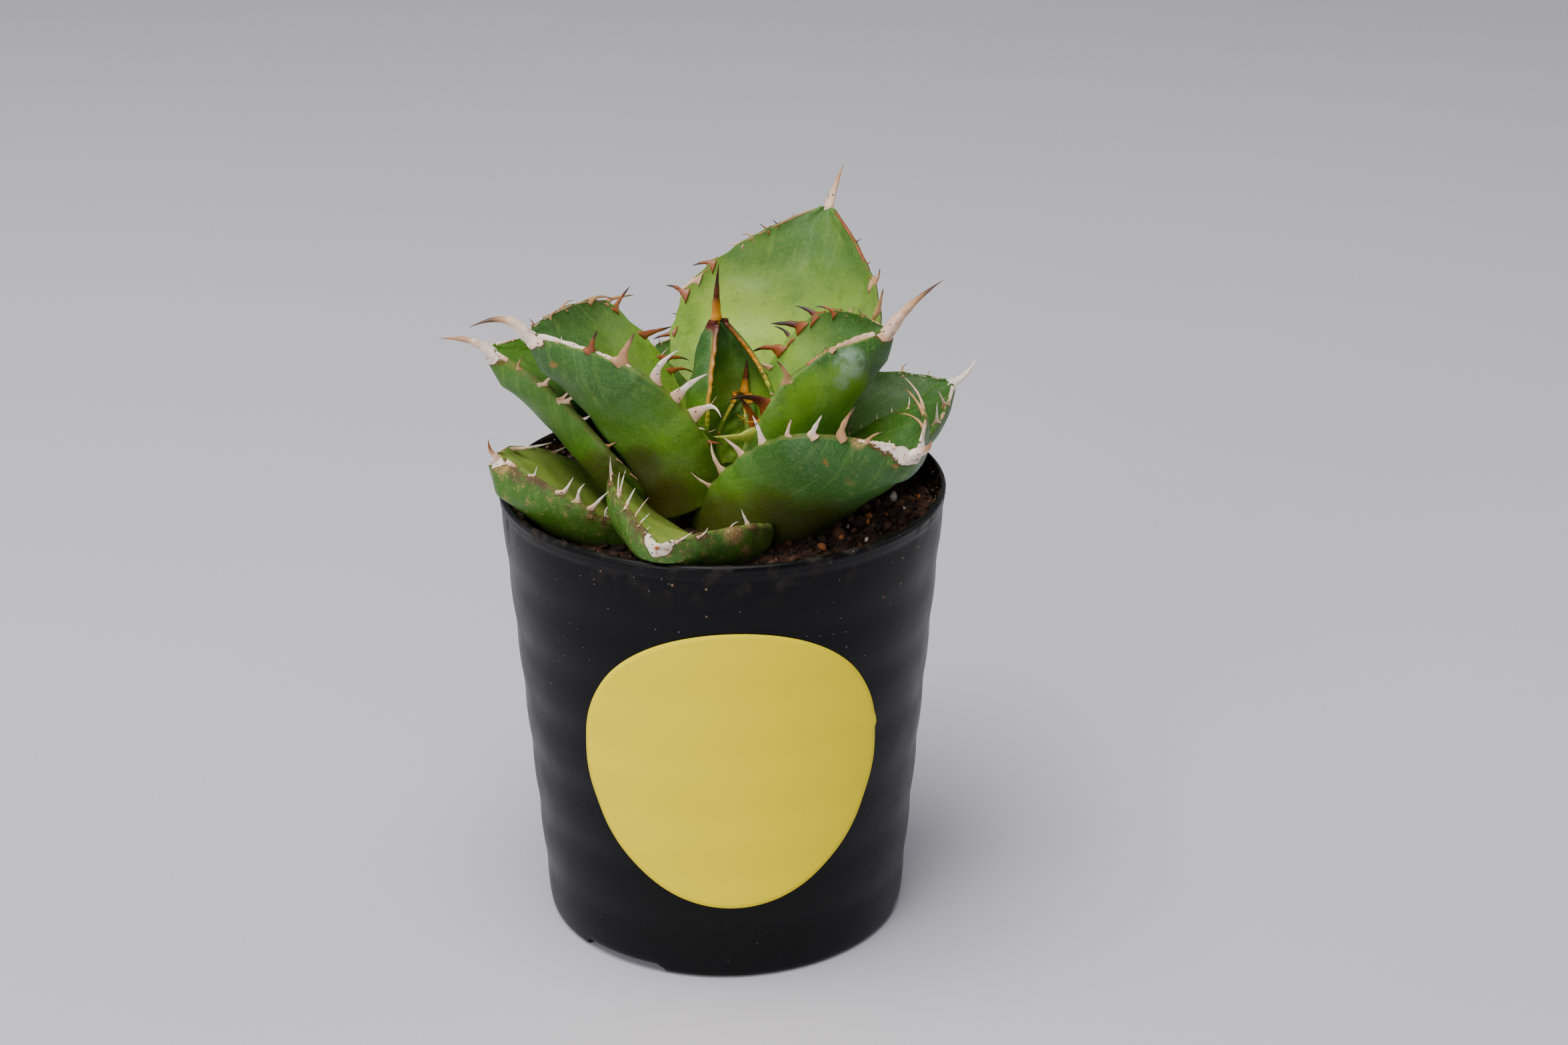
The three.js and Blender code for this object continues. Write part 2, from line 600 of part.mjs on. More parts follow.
// The plain hole in the soil that the plant's foot stands in.
function plantHole() {
  return lathe([
    [0, STEM_FOOT - GAP],
    [STEM_FOOT_RADIUS + GAP, STEM_FOOT - GAP],
    [STEM_RADIUS + GAP, HOLE_FLOOR],
    [HOLE_RADIUS, SOIL_TOP - HOLE_WIDE_BELOW],
    [HOLE_RADIUS, SOIL_TOP + HOLE_OVER],
    [0, SOIL_TOP + HOLE_OVER],
  ], HOLE_SIDES);
}

function makeStem(grow) {
  return lathe([
    [0, STEM_FOOT - grow],
    [STEM_FOOT_RADIUS + grow, STEM_FOOT - grow],
    [STEM_RADIUS + grow, STEM_SHOULDER],
    [STEM_RADIUS * STEM_TOP_SHARE + grow, STEM_TOP + grow],
    [0, STEM_TOP + STEM_DOME + grow],
  ], STEM_SIDES);
}

// A disc wrapped on the cone of the wall: across is measured round it, along up its slant.
function makeLabel() {
  const slope = Math.hypot(POT_TOP_RADIUS - POT_FOOT_RADIUS, POT_HEIGHT) / POT_HEIGHT;
  const middleRadius = wallRadius(LABEL_HEIGHT / slope);
  const onWall = (across, along, off) => {
    const z = (LABEL_HEIGHT + along) / slope;
    const radius = wallRadius(z) + off;
    const turn = radians(LABEL_ANGLE) + across / middleRadius;
    return new THREE.Vector3(radius * Math.cos(turn), radius * Math.sin(turn), z);
  };
  const points = [];
  for (const off of [LABEL_OFF_WALL + LABEL_THICK, LABEL_OFF_WALL]) {
    points.push(onWall(0, 0, off));
    for (let i = 1; i <= LABEL_RINGS; i += 1) {
      for (let j = 0; j < LABEL_SIDES; j += 1) {
        const angle = 2 * Math.PI * j / LABEL_SIDES;
        const reach = LABEL_RADIUS * i / LABEL_RINGS;
        points.push(onWall(reach * Math.cos(angle), reach * Math.sin(angle), off));
      }
    }
  }
  const back = 1 + LABEL_RINGS * LABEL_SIDES;
  const faces = [];
  const both = (a, b, c) => faces.push([a, b, c], [back + a, back + c, back + b]);
  for (let j = 0; j < LABEL_SIDES; j += 1) {
    const next = (j + 1) % LABEL_SIDES;
    both(0, 1 + j, 1 + next);
    for (let i = 0; i + 1 < LABEL_RINGS; i += 1) {
      const a = 1 + i * LABEL_SIDES;
      const b = a + LABEL_SIDES;
      both(a + j, b + j, b + next);
      both(a + j, b + next, a + next);
    }
    const rim = 1 + (LABEL_RINGS - 1) * LABEL_SIDES;
    faces.push([rim + j, back + rim + j, back + rim + next], [rim + j, back + rim + next, rim + next]);
  }
  return solidFromFaces(points, faces);
}

// ---- The plant, cut clear of itself ----

// Each leaf gives way to the leaves nearer the bud, to the stem, to the pot and to its own
// horny edge, and what a cut leaves loose is dropped. A tooth that would touch another leaf or
// the pot is left out.
function makePlant() {
  const room = potRoom();
  const stemClear = makeStem(GAP);
  const plant = [];
  let taken = stemClear;
  LEAVES.forEach((leaf) => {
    leaf.midrib = midrib(leaf);
    const hornClear = hornSolid(leaf, GAP);
    const blade = bladeSolid(leaf, 0).intersect(room).subtract(taken).subtract(hornClear);
    const horn = hornSolid(leaf, 0).intersect(room).subtract(taken);
    plant.push({ leaf, blade: cleaned(blade, GRAIN), horn: cleaned(horn, GRAIN) });
    taken = unionOf([taken, bladeSolid(leaf, GAP), hornClear]);
  });
  plant.forEach((piece, i) => {
    const others = unionOf(plant.filter((_, k) => k !== i).flatMap(other => [other.blade, other.horn]));
    for (const edge of [1, -1]) {
      for (const tooth of teethOf(piece.leaf, edge)) {
        const clear = toothSolid(piece.leaf, tooth, GAP);
        const outside = clear.subtract(room).volume() > TOUCH_VOLUME;
        const onHorn = tooth.t > piece.leaf.horn + TOOTH_ON_HORN;
        const solid = toothSolid(piece.leaf, tooth, 0);
        if (outside || touches(clear, others)) {
          continue;
        }
        if (onHorn && touches(solid, piece.horn)) {
          piece.horn = piece.horn.add(solid);
          piece.blade = piece.blade.subtract(clear);
        } else if (!touches(clear, piece.horn) && touches(solid, piece.blade)) {
          piece.blade = piece.blade.add(solid);
        }
      }
    }
    piece.blade = cleaned(piece.blade, FINE_GRAIN);
    piece.horn = cleaned(piece.horn, FINE_GRAIN);
  });
  return { plant, taken };
}

// ---- The part ----

const part = new THREE.Group();

function addMesh(name, solid, finish) {
  const material = new THREE.MeshStandardMaterial({ ...finish, metalness: 0 });
  const mesh = new THREE.Mesh(geometryFrom(solid), material);
  mesh.name = name;
  part.add(mesh);
}

const { plant, taken } = makePlant();
const soil = makeSoil().subtract(plantHole()).subtract(taken);
addMesh('pot', makePot(), FINISHES.pot);
addMesh('soil', cleaned(soil, GRAIN), FINISHES.soil);
addMesh('stem', makeStem(0), FINISHES.stem);
addMesh('label', makeLabel(), FINISHES.label);
plant.forEach(({ blade, horn }, i) => {
  const number = String(i + 1).padStart(2, '0');
  addMesh(`leaf_${number}`, blade, i < BUD_LEAVES ? FINISHES.bud : FINISHES.leaf);
  addMesh(`horn_${number}`, horn, FINISHES.horn);
});

export default part;
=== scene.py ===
"""A young agave in a round black nursery pot: the looks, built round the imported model."""

import math

import bmesh
import bpy
import numpy as np
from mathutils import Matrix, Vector
from mathutils.bvhtree import BVHTree


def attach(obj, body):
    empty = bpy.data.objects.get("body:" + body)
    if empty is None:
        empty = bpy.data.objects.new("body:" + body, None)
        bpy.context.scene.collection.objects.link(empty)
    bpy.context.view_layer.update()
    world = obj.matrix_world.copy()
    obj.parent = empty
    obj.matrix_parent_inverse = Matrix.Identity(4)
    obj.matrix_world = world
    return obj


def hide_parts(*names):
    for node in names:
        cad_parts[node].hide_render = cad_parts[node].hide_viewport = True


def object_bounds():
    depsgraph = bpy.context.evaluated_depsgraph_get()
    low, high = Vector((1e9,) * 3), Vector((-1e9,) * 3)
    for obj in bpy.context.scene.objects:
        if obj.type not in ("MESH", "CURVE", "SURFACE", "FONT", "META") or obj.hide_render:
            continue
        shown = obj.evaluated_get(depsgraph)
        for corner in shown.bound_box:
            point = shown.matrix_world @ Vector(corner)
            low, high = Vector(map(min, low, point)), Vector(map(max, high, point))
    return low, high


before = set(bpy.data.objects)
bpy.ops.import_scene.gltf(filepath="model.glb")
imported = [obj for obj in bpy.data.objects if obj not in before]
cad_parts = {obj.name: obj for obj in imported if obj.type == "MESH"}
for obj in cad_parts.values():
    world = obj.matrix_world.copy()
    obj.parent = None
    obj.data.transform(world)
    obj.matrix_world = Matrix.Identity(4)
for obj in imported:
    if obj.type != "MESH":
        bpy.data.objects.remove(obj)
cad_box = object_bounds()

MM = 0.001

# ---- Pot, in millimetres and degrees, as on the solids ----

GAP = 0.3                           # clearance kept between pieces that touch
POT_HEIGHT = 94.3
POT_TOP_RADIUS = 45.0               # outside, at the rim
POT_FOOT_RADIUS = 37.3              # outside, on the ground
WALL = 1.1
BEAD_HEIGHT = 2.2                   # rolled bead at the rim
RING_SPACING = 13.5                 # faint moulding rings in the wall
RING_DEPTH = 0.25
FOOT_ROUND = 1.6                    # rounded bottom edge
FLOOR_RISE = 3.4                    # the floor stands above the foot ring
FLOOR_THICK = 1.4
FOOT_RING_WIDTH = 3.2
NOTCH_COUNT = 3
NOTCH_ANGLE = -125.5                # first notch, counter-clockwise from +X
NOTCH_WIDTH = 20.0
NOTCH_HEIGHT = 2.3
DRAIN_COUNT = 6
DRAIN_RADIUS = 3.2
DRAIN_CIRCLE = 22.0

# Finer than the solids: the pot's edges, rings and slight want of roundness.
POT_AROUND = 240
WALL_ROWS = 90
WALL_OFF_FOOT = 1.2                 # the wall's rows start this far over the rounded edge
WALL_OFF_BEAD = 0.6                 # and end this far under the bead
RING_SHARPNESS = 1.5
BEAD_RADIUS = 1.0
BEAD_STEPS = 9
BEAD_ANGLES = (-40, 90)
BEAD_UNDERSIDE = 1.1                # the bead is this much taller below its middle
BEAD_GROOVE = 0.3
LIP_ROUND = [(0.3, 0.05), (0.0, 0.4)]          # out from the inner wall, and down from the top
INNER_ROWS = 14
INNER_DROP = 1.5
INNER_FOOT = 6.0
FLOOR_INSET = 1.6
FLOOR_CHAMFER = 0.4
DRAIN_BAND = 8.0                    # of plain floor inside and outside the drains' circle
DRAIN_SIDES = 32
FOOT_INNER_ROUND = [(0.0, 0.5), (0.15, 0.12), (0.5, 0.0)]   # out and up
FOOT_STEPS = 6
NOTCH_FADE = 0.3                    # how much of a notch is lost over the rounded edge
NOTCH_SLOPE = 1.3                   # degrees over which a notch rises
OUT_OF_ROUND = 0.06
OUT_OF_ROUND_TURN = 0.6             # radians

# ---- Label, in millimetres and degrees ----

LABEL_RADIUS = 31.4
LABEL_THICK = 0.14
LABEL_OFF_WALL = 0.06
LABEL_HEIGHT = 48.8                 # middle of the label, measured up the slanted wall
LABEL_ANGLE = -87.7                 # counter-clockwise from +X
LABEL_OUT = 30
LABEL_AROUND = 144
LABEL_FOLLOWS = 0.7                 # share of the wall's rings that shows through
CREASE_PLACE = (30.5, 6.0)          # across and up from the label's middle
CREASE_SIZE = (3.0, 1.1)
CREASE_HEIGHT = 0.5

# ---- Potting mix, in millimetres ----

SOIL_TOP = 88.6
SOIL_EDGE = 42.6
SOIL_AROUND = 150
SOIL_OUT = 46
SOIL_CROWDING = 0.8                 # rings lie closer together towards the wall
SOIL_LUMPS = 0.275                  # height of the slow waves, which the solids have too
LUMP_WAVES = (0.9, 1.1)             # radians a millimetre in x and in y
LUMP_SWAY = (1.3, 0.35)
LUMP_DRIFT = (1.7, 0.3)
SOIL_CRUMBS = 0.22                  # height of the quick waves
CRUMB_WAVES = ((3.1, 1.9), (-2.3, 3.7))
SOIL_INSET = 0.3
SOIL_SHOULDER = 84.0
SOIL_OFF_WALL = 1.8
SOIL_BOTTOM = 8.0
SOIL_BOTTOM_RING = 20.0

# ---- Leaves, in millimetres and degrees, as on the solids ----

MIDRIB_STEPS = 24
LEAF_FOOT_RADIUS = 6.0              # where the leaves leave the stem
LEAF_FOOT_SHARE = 0.62              # half width at the foot, as a share of the widest
LEAF_EDGE = 0.8                     # thickness at the edge
TIP_HALF_WIDTH = 1.5
KEEL_RISE = 6.0                     # the keel thins from its full depth to a share at the tip
KEEL_AT_TIP = 0.35
KEEL_FORM = (2.2, 0.8)              # powers that round the keel off towards the edges
TOOTH_ROOT = 0.5                    # how far a tooth is sunk into what it grows from
TOOTH_REACH = (0.24, 0.93)          # where along the leaf its teeth start and end
TOOTH_SHIFT = 0.5                   # seeded shift along the edge, in steps between teeth
TOOTH_SHORTEST = 0.55               # length of the first and last, as a share of the longest
TOOTH_LENGTHS = (0.75, 1.15)        # seeded share of the length
TOOTH_LEANS = (-30, 35)             # seeded lean along the edge
TOOTH_BENDS = (-0.5, 0.5)           # seeded bend along the edge, as a share of the length
TOOTH_LIFTS = (-0.1, 0.5)           # seeded lift out of the leaf's face
TOOTH_CURL = 0.25                   # every tooth curls up by this share of its length
RIGHT_EDGE_DRAWS = 40               # the right edge's draws start here, and each value's own after
LENGTH_DRAWS = 100
LEAN_DRAWS = 200
BEND_DRAWS = 300
LIFT_DRAWS = 400

# Finer than the solids: the leaf's flesh.
BOX_INSIDE = 0.06                   # leaves and horn stay this far inside the solids' own box
LEAF_LENGTHWISE = 120
LEAF_ACROSS = 38
LAST_ROW = 0.985
RIPPLE = 0.14
RIPPLE_WAVES = ((31, 5, 1), (17, -9, 2))       # along, across, and times the leaf's phase
RIPPLE_PHASE = 1.7
RIPPLE_FADE = 4
KNOB_HEIGHT = 0.6
KNOB_MARGIN = 0.8
KNOB_TALLEST = 1.3                  # times the common height
KNOB_FADE = 8
COMMON_FOOT = 1.4                   # half the width of a common tooth's foot
RIM_INSIDE = 42.9                   # low leaves are pressed in to this radius
RIM_LIFT = 3.5                      # and lie on the rim from this far under it
CAP_FORM = (0.45, 0.75, 1.5)        # horny tip: share at the midrib, more at the edges, power
CAP_ABOVE = 0.4                     # share of its length on the upper face
STREAKS = (0.9, 0.07, 40.0)         # across and along, for each millimetre, and the underside's shift
HUB_EDGES = (5.0, 0.5)              # edge_mm in the middle of the foot and of the tip
HUB_STREAKS = [(0, 0), (0, 3)]      # and their places in the streaks' pattern

# Finer than the solids: horn.
HORN_END = 0.97                     # where the horny edge turns round the tip
BAND_RINGS = 64
BAND_SIDES = 10
BAND_LATEST = 0.94                  # every horny edge starts before this
BAND_INSET = 0.15                   # share of its half width that lies over the flesh
BAND_AT_START = 0.55                # share of its width
BAND_RAGGED = (0.6, 1.4)            # seeded share of its width
BAND_DRAWS = 700
BAND_RIGHT_DRAWS = 90
BAND_SMOOTHING = (0.25, 0.5, 0.25)
BAND_RUN_IN = (0.1, 0.08)           # share of its length, and share of the width at its very start
BAND_THICK = (0.16, 0.75)           # half thickness: least, and more for each millimetre of width
BAND_THICKEST = 0.62                # of the leaf's edge
TOOTH_RINGS = 14
TOOTH_SIDES = 10
TOOTH_CROWDING = 1.15               # rings lie closer together towards the root
KNEE_PULL = -0.25                   # the curve's handle lies past the knee by this share
TOOTH_SWAY = 0.04                   # seeded sway to the side, as a share of the length
SWAY_DRAWS = 600
ROOT_FADE = 4
FOOT_REACH = 0.35                   # share of the length over which the foot spreads
BLADE_WIDTH = (0.16, 0.055)         # half width: least, and more for each millimetre of length
BLADE_SHARES = (0.4, 1.6)           # least and most of that, by the foot's width
BLADE_WIDEST = 1.1
BLADE_TAPER = 0.75
BLADE_RIPPLE = (0.12, 19)
BLADE_THICKEST = 0.6
BLADE_THICKNESS = 0.7               # as a share of the blade's half width
FOOT_FLARE = (0.36, 1.7, 0.1)       # share of the length, power, and least width it starts from
FOOT_SWELL = (0.35, 1.5, 0.35, 2.0)            # the same, most that it adds, and broad foot
POINT_RADIUS = 0.02
SIDE_GUARD = 1e-9                   # a tooth that points along the edge still gets a side
WIDTH_GUARD = 1e-3                  # and its width a direction
SPINE_RINGS = 20
SPINE_SIDES = 14
SPINE_SUNK = 0.8                    # of the leaf's edge
SPINE_BACK = (2.6, 0.3)             # how far it reaches back into the tip, and down
SPINE_BACK_SHARES = (-0.12, -0.06)
SPINE_ROOT = 0.6                    # share of its radius at the very back
SPINE_TAPER = 1.05
SPINE_POINT = 0.03
SPINE_RIPPLE = (0.05, 23)
SPINE_SECTION = (1.05, 0.8)         # it is a little wider than thick
SPINE_KNEE = (0.45, 0.0)            # handle of its curve, along and under it, in spine lengths
SPINE_KNEES = {4: (0.45, -0.09), 5: (0.45, -0.33), 7: (0.45, -0.15), 9: (0.5, 0.075)}

# The leaves' rows, as in the solids, from the furled leaf of the bud outwards. age runs from 0,
# the fresh bud, to 1, the oldest leaf; cap is the length of the horny tip and stout the radius at
# the foot of the end spine.
LEAF_KEYS = ("azimuth swerve rise0 rise1 roll foot length halfWidth cup widest taper keel0 keel1 "
             "horn spine spineTurn spineRise teeth tooth seed age cap stout").split()
LEAF_ROWS = [
    (59, 0, 82.3, 81.8, 0, 93.7, 16.6, 5, 100, 0.4, 1.5, 2.6, 1.4, 0.62, 8, -13, 0, 1, 3.2, 1,
     0.0, 2, 0.9),
    (92.6, 8.6, 81.5, 87.2, 23, 95.4, 30, 12.1, 97.6, 0.45, 1.6, 4, 2, 0.36, 12.1, 6.8, 9.8, 4,
     3.6, 2, 0.62, 2, 1.1),
    (57, 0.6, 47.6, 58, 2.4, 94.7, 58.5, 23.6, 31, 0.5, 1.8, 9, 3.2, 0.6, 9.4, -1.9, -6.4, 9, 5,
     3, 0.3, 0.8, 0.95),
    (-5, -12, 56.7, 47.7, 4.5, 93, 43.9, 19.3, 65, 0.6, 2, 8, 3.2, 0.7, 15.4, 5.5, -2, 8, 6, 4,
     0.5, 1.2, 1.75),
    (194.1, -1.6, 65.5, 25.9, -2.5, 95.3, 47.6, 21.4, 46.4, 0.66, 1.34, 13, 3.6, 0.66, 11.6, 6,
     -12.9, 8, 7, 5, 0.6, 2.2, 1.7),
    (130, -4, 20, 30, -6, 87, 49, 16, 46, 0.55, 1.8, 8, 3.2, 0.76, 7, 0, 4, 8, 5, 6, 0.75, 2.5,
     1.1),
    (162.9, 27.4, 51.8, 25, -16.2, 88.9, 52.8, 19, 40, 0.42, 1.4, 11.5, 4.6, 0.84, 10, 4.3, -8.4,
     8, 4.6, 7, 0.8, 2.4, 1.3),
    (-42, -1, 45, 22.6, -6.2, 84, 52.6, 21.2, 50, 0.7, 1.8, 11, 3.6, 0.84, 8, -26, 13.8, 8, 6, 8,
     0.75, 2.4, 1.2),
    (29, 1.7, 11.4, 22.6, 7.9, 89.5, 52, 19.4, 38, 0.5, 1.8, 8, 3.2, 0.72, 9, 14.9, 2.1, 8, 4.6, 9,
     0.75, 1.2, 1.0),
    (97, 4, 24, 30, 3, 88, 47, 19.5, 42, 0.52, 1.8, 8, 3.2, 0.74, 5, 4, 6, 8, 5, 10, 0.8, 2, 1.1),
    (249.6, 12.4, 32, 13, -12, 82.5, 44.8, 18, 46, 0.5, 1.6, 9, 4, 0.8, 4, 10.9, 0, 7, 3.4, 11,
     1.0, 1.4, 0.8),
    (194.9, 15, 19, 42, -5, 82.5, 47.9, 15.5, 20, 0.6, 1.8, 12, 5, 0.8, 4.1, 8.3, 25, 7, 3.6, 12,
     1.0, 1.2, 0.8),
    (68, -6, 14, 24, 0, 84, 46, 15.5, 34, 0.55, 1.7, 7, 3, 0.7, 6, 0, 8, 6, 3.8, 13, 0.95, 2, 1.0),
]
LEAVES = [dict(zip(LEAF_KEYS, row), number=i + 1) for i, row in enumerate(LEAF_ROWS)]

# Tones of the horn, from weathered to fresh. A tooth's, spine's or edge's tone is one of these.
TONES = {
    "bone": (0.0, "#f6e8d8"),
    "pink": (0.2, "#eecbb0"),
    "tan": (0.4, "#c09264"),
    "rust": (0.55, "#8f4a1a"),
    "plum": (0.7, "#521510"),
    "amber": (0.85, "#d9921c"),
    "sap": (1.0, "#c3cf55"),
}

# Teeth read off the photograph: for a leaf's number and edge (1 its left, seen from its foot, or
# -1 its right), each row is the tone, then the pixels of the foot, the knee and the tip, then half
# the width of the foot in millimetres.
SEEN_TEETH = {
    (3, 1): [
        ("tan", (1188, 323), (1188, 320), (1188, 315), 1.0),
        ("plum", (1164, 332), (1162, 328), (1158, 323), 1.0),
        ("rust", (1148, 338), (1143, 334), (1136, 328), 1.2),
        ("tan", (1122, 349), (1120, 342), (1107, 343), 1.2),
        ("pink", (1111, 362), (1102, 360), (1089, 365), 1.4),
        ("rust", (1063, 391), (1051, 385), (1032, 393), 2.0),
        ("pink", (1042, 410), (1024, 421), (1008, 433), 2.0),
        ("rust", (1026, 441), (1014, 428), (996, 427), 2.2),
        ("plum", (1016, 470), (1012, 470), (1007, 469), 1.0),
        ("rust", (1010, 497), (996, 501), (979, 508), 1.8),
    ],
    (3, -1): [
        ("plum", (1285, 361), (1290, 359), (1294, 355), 0.9),
        ("rust", (1303, 392), (1307, 391), (1311, 388), 0.9),
        ("tan", (1314, 425), (1322, 419), (1324, 401), 2.0),
        ("tan", (1323, 469), (1326, 450), (1330, 432), 2.0),
    ],
    (4, -1): [
        ("tan", (1176, 579), (1184, 558), (1164, 541), 2.9),
        ("plum", (1155, 613), (1133, 592), (1097, 602), 2.7),
        ("rust", (1126, 640), (1122, 612), (1099, 587), 2.3),
        ("sap", (1122, 640), (1092, 653), (1062, 650), 3.0),
        ("amber", (1117, 617), (1102, 620), (1084, 619), 1.0),
        ("amber", (1112, 668), (1115, 660), (1116, 652), 0.9),
        ("tan", (1240, 527), (1237, 523), (1235, 517), 2.0),
    ],
    (4, 1): [
        ("rust", (1167, 525), (1145, 514), (1122, 525), 2.2),
        ("plum", (1184, 514), (1184, 499), (1160, 490), 2.0),
        ("plum", (1201, 491), (1182, 482), (1152, 484), 2.4),
        ("plum", (1224, 477), (1216, 464), (1192, 458), 2.6),
        ("rust", (1252, 467), (1242, 458), (1221, 457), 1.6),
        ("tan", (1271, 469), (1274, 462), (1283, 460), 1.0),
        ("plum", (1291, 476), (1288, 470), (1285, 463), 1.0),
    ],
    (5, 1): [
        ("bone", (844, 504), (844, 500), (844, 495), 1.2),
        ("rust", (893, 521), (891, 506), (903, 488), 2.0),
        ("tan", (938, 543), (938, 520), (957, 495), 3.0),
        ("bone", (991, 575), (984, 545), (1023, 522), 2.4),
        ("bone", (1007, 601), (1026, 580), (1061, 564), 2.0),
        ("bone", (1036, 625), (1070, 598), (1084, 626), 2.2),
        ("bone", (1046, 641), (1052, 642), (1058, 644), 1.3),
        ("rust", (1066, 659), (1079, 660), (1093, 663), 1.2),
    ],
    (5, -1): [
        ("rust", (800, 481), (795, 477), (789, 470), 1.1),
        ("tan", (822, 472), (829, 464), (838, 460), 1.1),
        ("tan", (849, 466), (847, 456), (862, 453), 1.2),
        ("tan", (883, 451), (900, 438), (919, 445), 1.2),
        ("tan", (914, 449), (925, 437), (955, 433), 1.2),
        ("rust", (929, 460), (934, 443), (951, 421), 1.5),
        ("plum", (966, 497), (967, 493), (970, 488), 1.0),
        ("rust", (967, 498), (990, 491), (1013, 483), 1.5),
        ("pink", (983, 522), (984, 516), (984, 509), 1.0),
        ("rust", (994, 535), (1018, 531), (1038, 537), 1.4),
        ("rust", (1003, 557), (1021, 549), (1043, 560), 1.3),
    ],
    (7, 1): [
        ("tan", (788, 552), (776, 543), (791, 532), 1.5),
        ("pink", (822, 579), (821, 566), (837, 561), 2.0),
        ("pink", (847, 609), (850, 597), (871, 597), 2.2),
        ("pink", (842, 604), (846, 594), (859, 586), 1.4),
        ("bone", (868, 629), (878, 630), (887, 623), 1.8),
        ("rust", (887, 666), (891, 666), (895, 667), 1.2),
        ("tan", (898, 678), (909, 675), (920, 671), 1.4),
        ("tan", (911, 699), (918, 703), (925, 709), 1.0),
        ("tan", (936, 719), (943, 725), (952, 731), 1.1),
        ("tan", (954, 742), (963, 747), (974, 750), 1.2),
    ],
    (8, -1): [
        ("pink", (1069, 728), (1055, 722), (1037, 706), 1.4),
        ("pink", (1089, 710), (1073, 690), (1071, 663), 1.6),
        ("pink", (1118, 690), (1108, 672), (1088, 659), 2.0),
        ("bone", (1151, 679), (1147, 661), (1135, 634), 2.4),
        ("pink", (1183, 668), (1185, 653), (1191, 639), 1.5),
        ("bone", (1216, 652), (1222, 640), (1234, 620), 2.2),
        ("tan", (1259, 668), (1262, 646), (1282, 621), 1.8),
        ("tan", (1298, 662), (1313, 650), (1328, 647), 1.0),
        ("bone", (1338, 661), (1338, 656), (1337, 651), 1.4),
    ],
    (8, 1): [
        ("tan", (1386, 640), (1371, 619), (1341, 618), 0.6),
        ("tan", (1384, 622), (1368, 592), (1352, 578), 0.7),
        ("pink", (1385, 612), (1382, 587), (1356, 559), 0.7),
    ],
    (9, 1): [
        ("tan", (1357, 555), (1353, 545), (1365, 538), 1.2),
        ("tan", (1299, 591), (1307, 578), (1317, 564), 1.0),
        ("rust", (1284, 633), (1290, 623), (1298, 612), 1.0),
        ("tan", (1392, 556), (1394, 550), (1399, 546), 1.0),
    ],
    (9, -1): [
        ("pink", (1413, 606), (1406, 596), (1398, 583), 1.3),
        ("bone", (1402, 633), (1401, 618), (1401, 600), 1.3),
        ("bone", (1392, 652), (1390, 640), (1387, 628), 1.2),
    ],
    (11, -1): [
        ("bone", (924, 744), (925, 728), (927, 709), 1.1),
        ("bone", (927, 746), (932, 727), (938, 706), 1.1),
        ("bone", (939, 759), (946, 747), (955, 730), 1.8),
        ("pink", (951, 777), (958, 766), (974, 746), 1.0),
        ("bone", (959, 786), (967, 780), (977, 770), 1.3),
        ("bone", (968, 796), (972, 794), (978, 790), 1.1),
    ],
    (11, 1): [
        ("bone", (1009, 805), (1013, 805), (1018, 802), 1.0),
        ("bone", (1017, 811), (1026, 807), (1038, 798), 1.5),
        ("bone", (1048, 800), (1054, 798), (1059, 788), 1.6),
        ("bone", (1097, 797), (1097, 789), (1108, 785), 1.2),
        ("bone", (1127, 800), (1118, 789), (1113, 774), 1.5),
        ("bone", (1150, 809), (1154, 799), (1147, 786), 1.3),
        ("pink", (1162, 822), (1172, 810), (1188, 813), 1.3),
    ],
    (12, -1): [
        ("bone", (767, 679), (798, 678), (830, 668), 0.9),
        ("bone", (826, 684), (838, 679), (851, 671), 1.1),
        ("bone", (847, 689), (853, 687), (860, 683), 0.9),
    ],
    (12, 1): [
        ("bone", (800, 716), (804, 710), (807, 700), 1.2),
        ("bone", (842, 747), (850, 737), (860, 721), 1.6),
        ("bone", (862, 768), (858, 752), (872, 736), 1.6),
        ("bone", (879, 779), (889, 766), (909, 749), 1.5),
        ("bone", (905, 803), (896, 787), (906, 777), 1.4),
        ("bone", (899, 797), (899, 790), (897, 784), 1.0),
    ],
    (2, 1): [
        ("amber", (1070, 580), (1074, 582), (1078, 582), 0.8),
    ],
}

# The horny edge: half its width in millimetres, and its tone where it starts and at the tip, with
# the pixel where it starts, if the photograph shows it.
EDGE_HORN = {
    (1, 1): (0.4, "sap", "amber", None),
    (1, -1): (0.4, "sap", "amber", None),
    (2, 1): (0.95, "sap", "plum", (1063, 649)),
    (2, -1): (0.8, "sap", "plum", (1154, 584)),
    (3, 1): (0.45, "rust", "tan", (1016, 470)),
    (3, -1): (0.5, "rust", "rust", (1318, 440)),
    (4, 1): (0.42, "rust", "tan", (1252, 467)),
    (4, -1): (1.3, "rust", "pink", (1209, 547)),
    (5, 1): (1.25, "pink", "bone", (958, 556)),
    (5, -1): (0.5, "rust", "pink", (925, 452)),
    (7, 1): (0.75, "tan", "bone", (768, 534)),
    (7, -1): (0.5, "tan", "bone", (776, 505)),
    (8, -1): (1.15, "pink", "bone", (1289, 655)),
    (8, 1): (0.7, "tan", "bone", (1380, 628)),
    (9, 1): (0.4, "tan", "bone", (1330, 562)),
    (9, -1): (0.55, "tan", "bone", (1405, 630)),
    (11, 1): (0.7, "bone", "bone", (1003, 809)),
    (11, -1): (0.6, "bone", "bone", (972, 806)),
    (12, 1): (0.45, "rust", "bone", (752, 696)),
    (12, -1): (0.45, "rust", "bone", (766, 680)),
}
EDGE_HORN_UNSEEN = (0.5, "tan", "bone", None)

